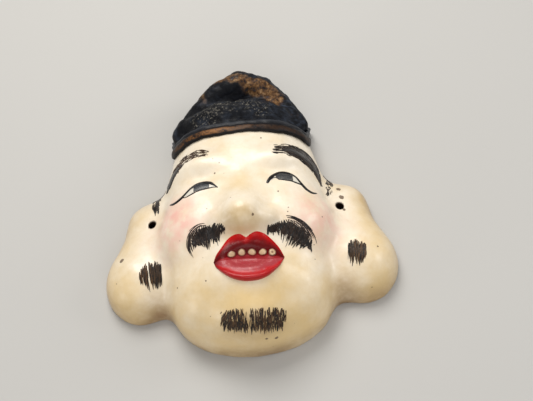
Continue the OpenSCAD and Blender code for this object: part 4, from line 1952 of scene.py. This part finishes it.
@dataclass(frozen=True)
class Lamp:
    """One soft square lamp that looks at the mask: its place in metres, side and watts."""

    name: str
    place: Place
    size: float
    power: float
    colour: Colour = WHITE

    def hang(self) -> None:
        """Hangs the lamp."""
        data = bpy.data.lights.new(self.name, "AREA")
        data.size, data.energy, data.color = self.size, self.power, self.colour
        lamp = bpy.data.objects.new(self.name, data)
        lamp.location = self.place
        lamp.rotation_mode = "QUATERNION"
        lamp.rotation_quaternion = (-Vector(self.place)).to_track_quat("-Z", "Y")
        bpy.context.scene.collection.objects.link(lamp)


@dataclass(frozen=True)
class Studio:
    """The pale floor, the soft lights and the camera."""

    bench: Bench
    azimuth: float = 3.27
    elevation: float = 60.0
    roll: float = 8.68
    distance: float = 340.0
    target: Place = (9.3, 5.0, 12.0)
    lens: float = 53.4
    film_width: float = 36.0
    nearest: float = 0.01
    lamps: tuple[Lamp, ...] = (
        Lamp("key", (-0.08, 0.30, 0.52), 0.34, 2.9, (1.0, 0.98, 0.94)),
        Lamp("front", (0.04, -0.46, 0.42), 0.50, 1.2),
        Lamp("right", (0.52, 0.03, 0.32), 0.20, 0.7),
        Lamp("left", (-0.54, -0.24, 0.17), 0.16, 0.4),
    )
    room_light: float = 0.24
    floor_size: float = 2.4
    floor_drop: float = 0.2
    floor_colour: Colour = paint(196, 194, 190)

    def camera(self) -> None:
        """Stands the camera over the mask as it lies on the floor."""
        turn, rise = math.radians(self.azimuth), math.radians(self.elevation)
        level = math.cos(rise)
        back = Vector((math.sin(turn) * level, -math.cos(turn) * level, math.sin(rise)))
        camera = bpy.data.objects.new("camera", bpy.data.cameras.new("camera"))
        bpy.context.scene.collection.objects.link(camera)
        camera.rotation_mode = "QUATERNION"
        lean = Quaternion((0, 0, 1), -math.radians(self.roll))
        camera.rotation_quaternion = (-back).to_track_quat("-Z", "Y") @ lean
        target = Vector(self.bench.place(np.array(self.target)))
        camera.location = target + back * self.distance * MM
        camera.data.lens = self.lens
        camera.data.sensor_width = self.film_width
        camera.data.clip_start = self.nearest
        bpy.context.scene.camera = camera

    def build(self) -> None:
        """Makes the floor, the lights and the camera."""
        half = self.floor_size / 2
        mesh = bpy.data.meshes.new("floor")
        corners = [(-half, -half, 0), (half, -half, 0), (half, half, 0), (-half, half, 0)]
        mesh.from_pydata(corners, [], [(0, 1, 2, 3)])
        floor = bpy.data.objects.new("floor", mesh)
        floor.location.z = -self.floor_drop * MM
        bpy.context.scene.collection.objects.link(floor)
        recipe = Recipe("floor_card", 0.85)
        recipe.colour(self.floor_colour)
        mesh.materials.append(recipe.material)
        world = bpy.data.worlds.new("studio")
        world.use_nodes = True
        sky = world.node_tree.nodes["Background"]
        sky.inputs["Color"].default_value = (*WHITE, 1)
        sky.inputs["Strength"].default_value = self.room_light
        bpy.context.scene.world = world
        for lamp in self.lamps:
            lamp.hang()
        bpy.context.scene.view_settings.view_transform = "Standard"
        self.camera()


def sculpt_offset() -> float:
    """Gives how far the frame lies below the sculpted relief, from a string hole's place."""
    mounts = {m["name"]: m for m in frame["record"]["mounts"]}
    return Relief().hole_y - mounts["left_string_hole"]["pos_m"][1] / MM


def main() -> None:
    """Builds the mask and the studio in order."""
    logging.basicConfig(level=logging.INFO, format="%(name)s: %(message)s")
    relief = Relief()
    bench = Bench(sculpt_offset())
    Studio(bench).build()
    painter = Painter(relief.face)
    Clay(Kiln(relief, VOXEL), bench, painter).build()
    CapRoll(relief, bench).build()
    Mouth(bench, painter).build()
    Hair(bench, painter).build()
    Eyes(bench, painter).build()


if __name__ == "__main__":
    main()
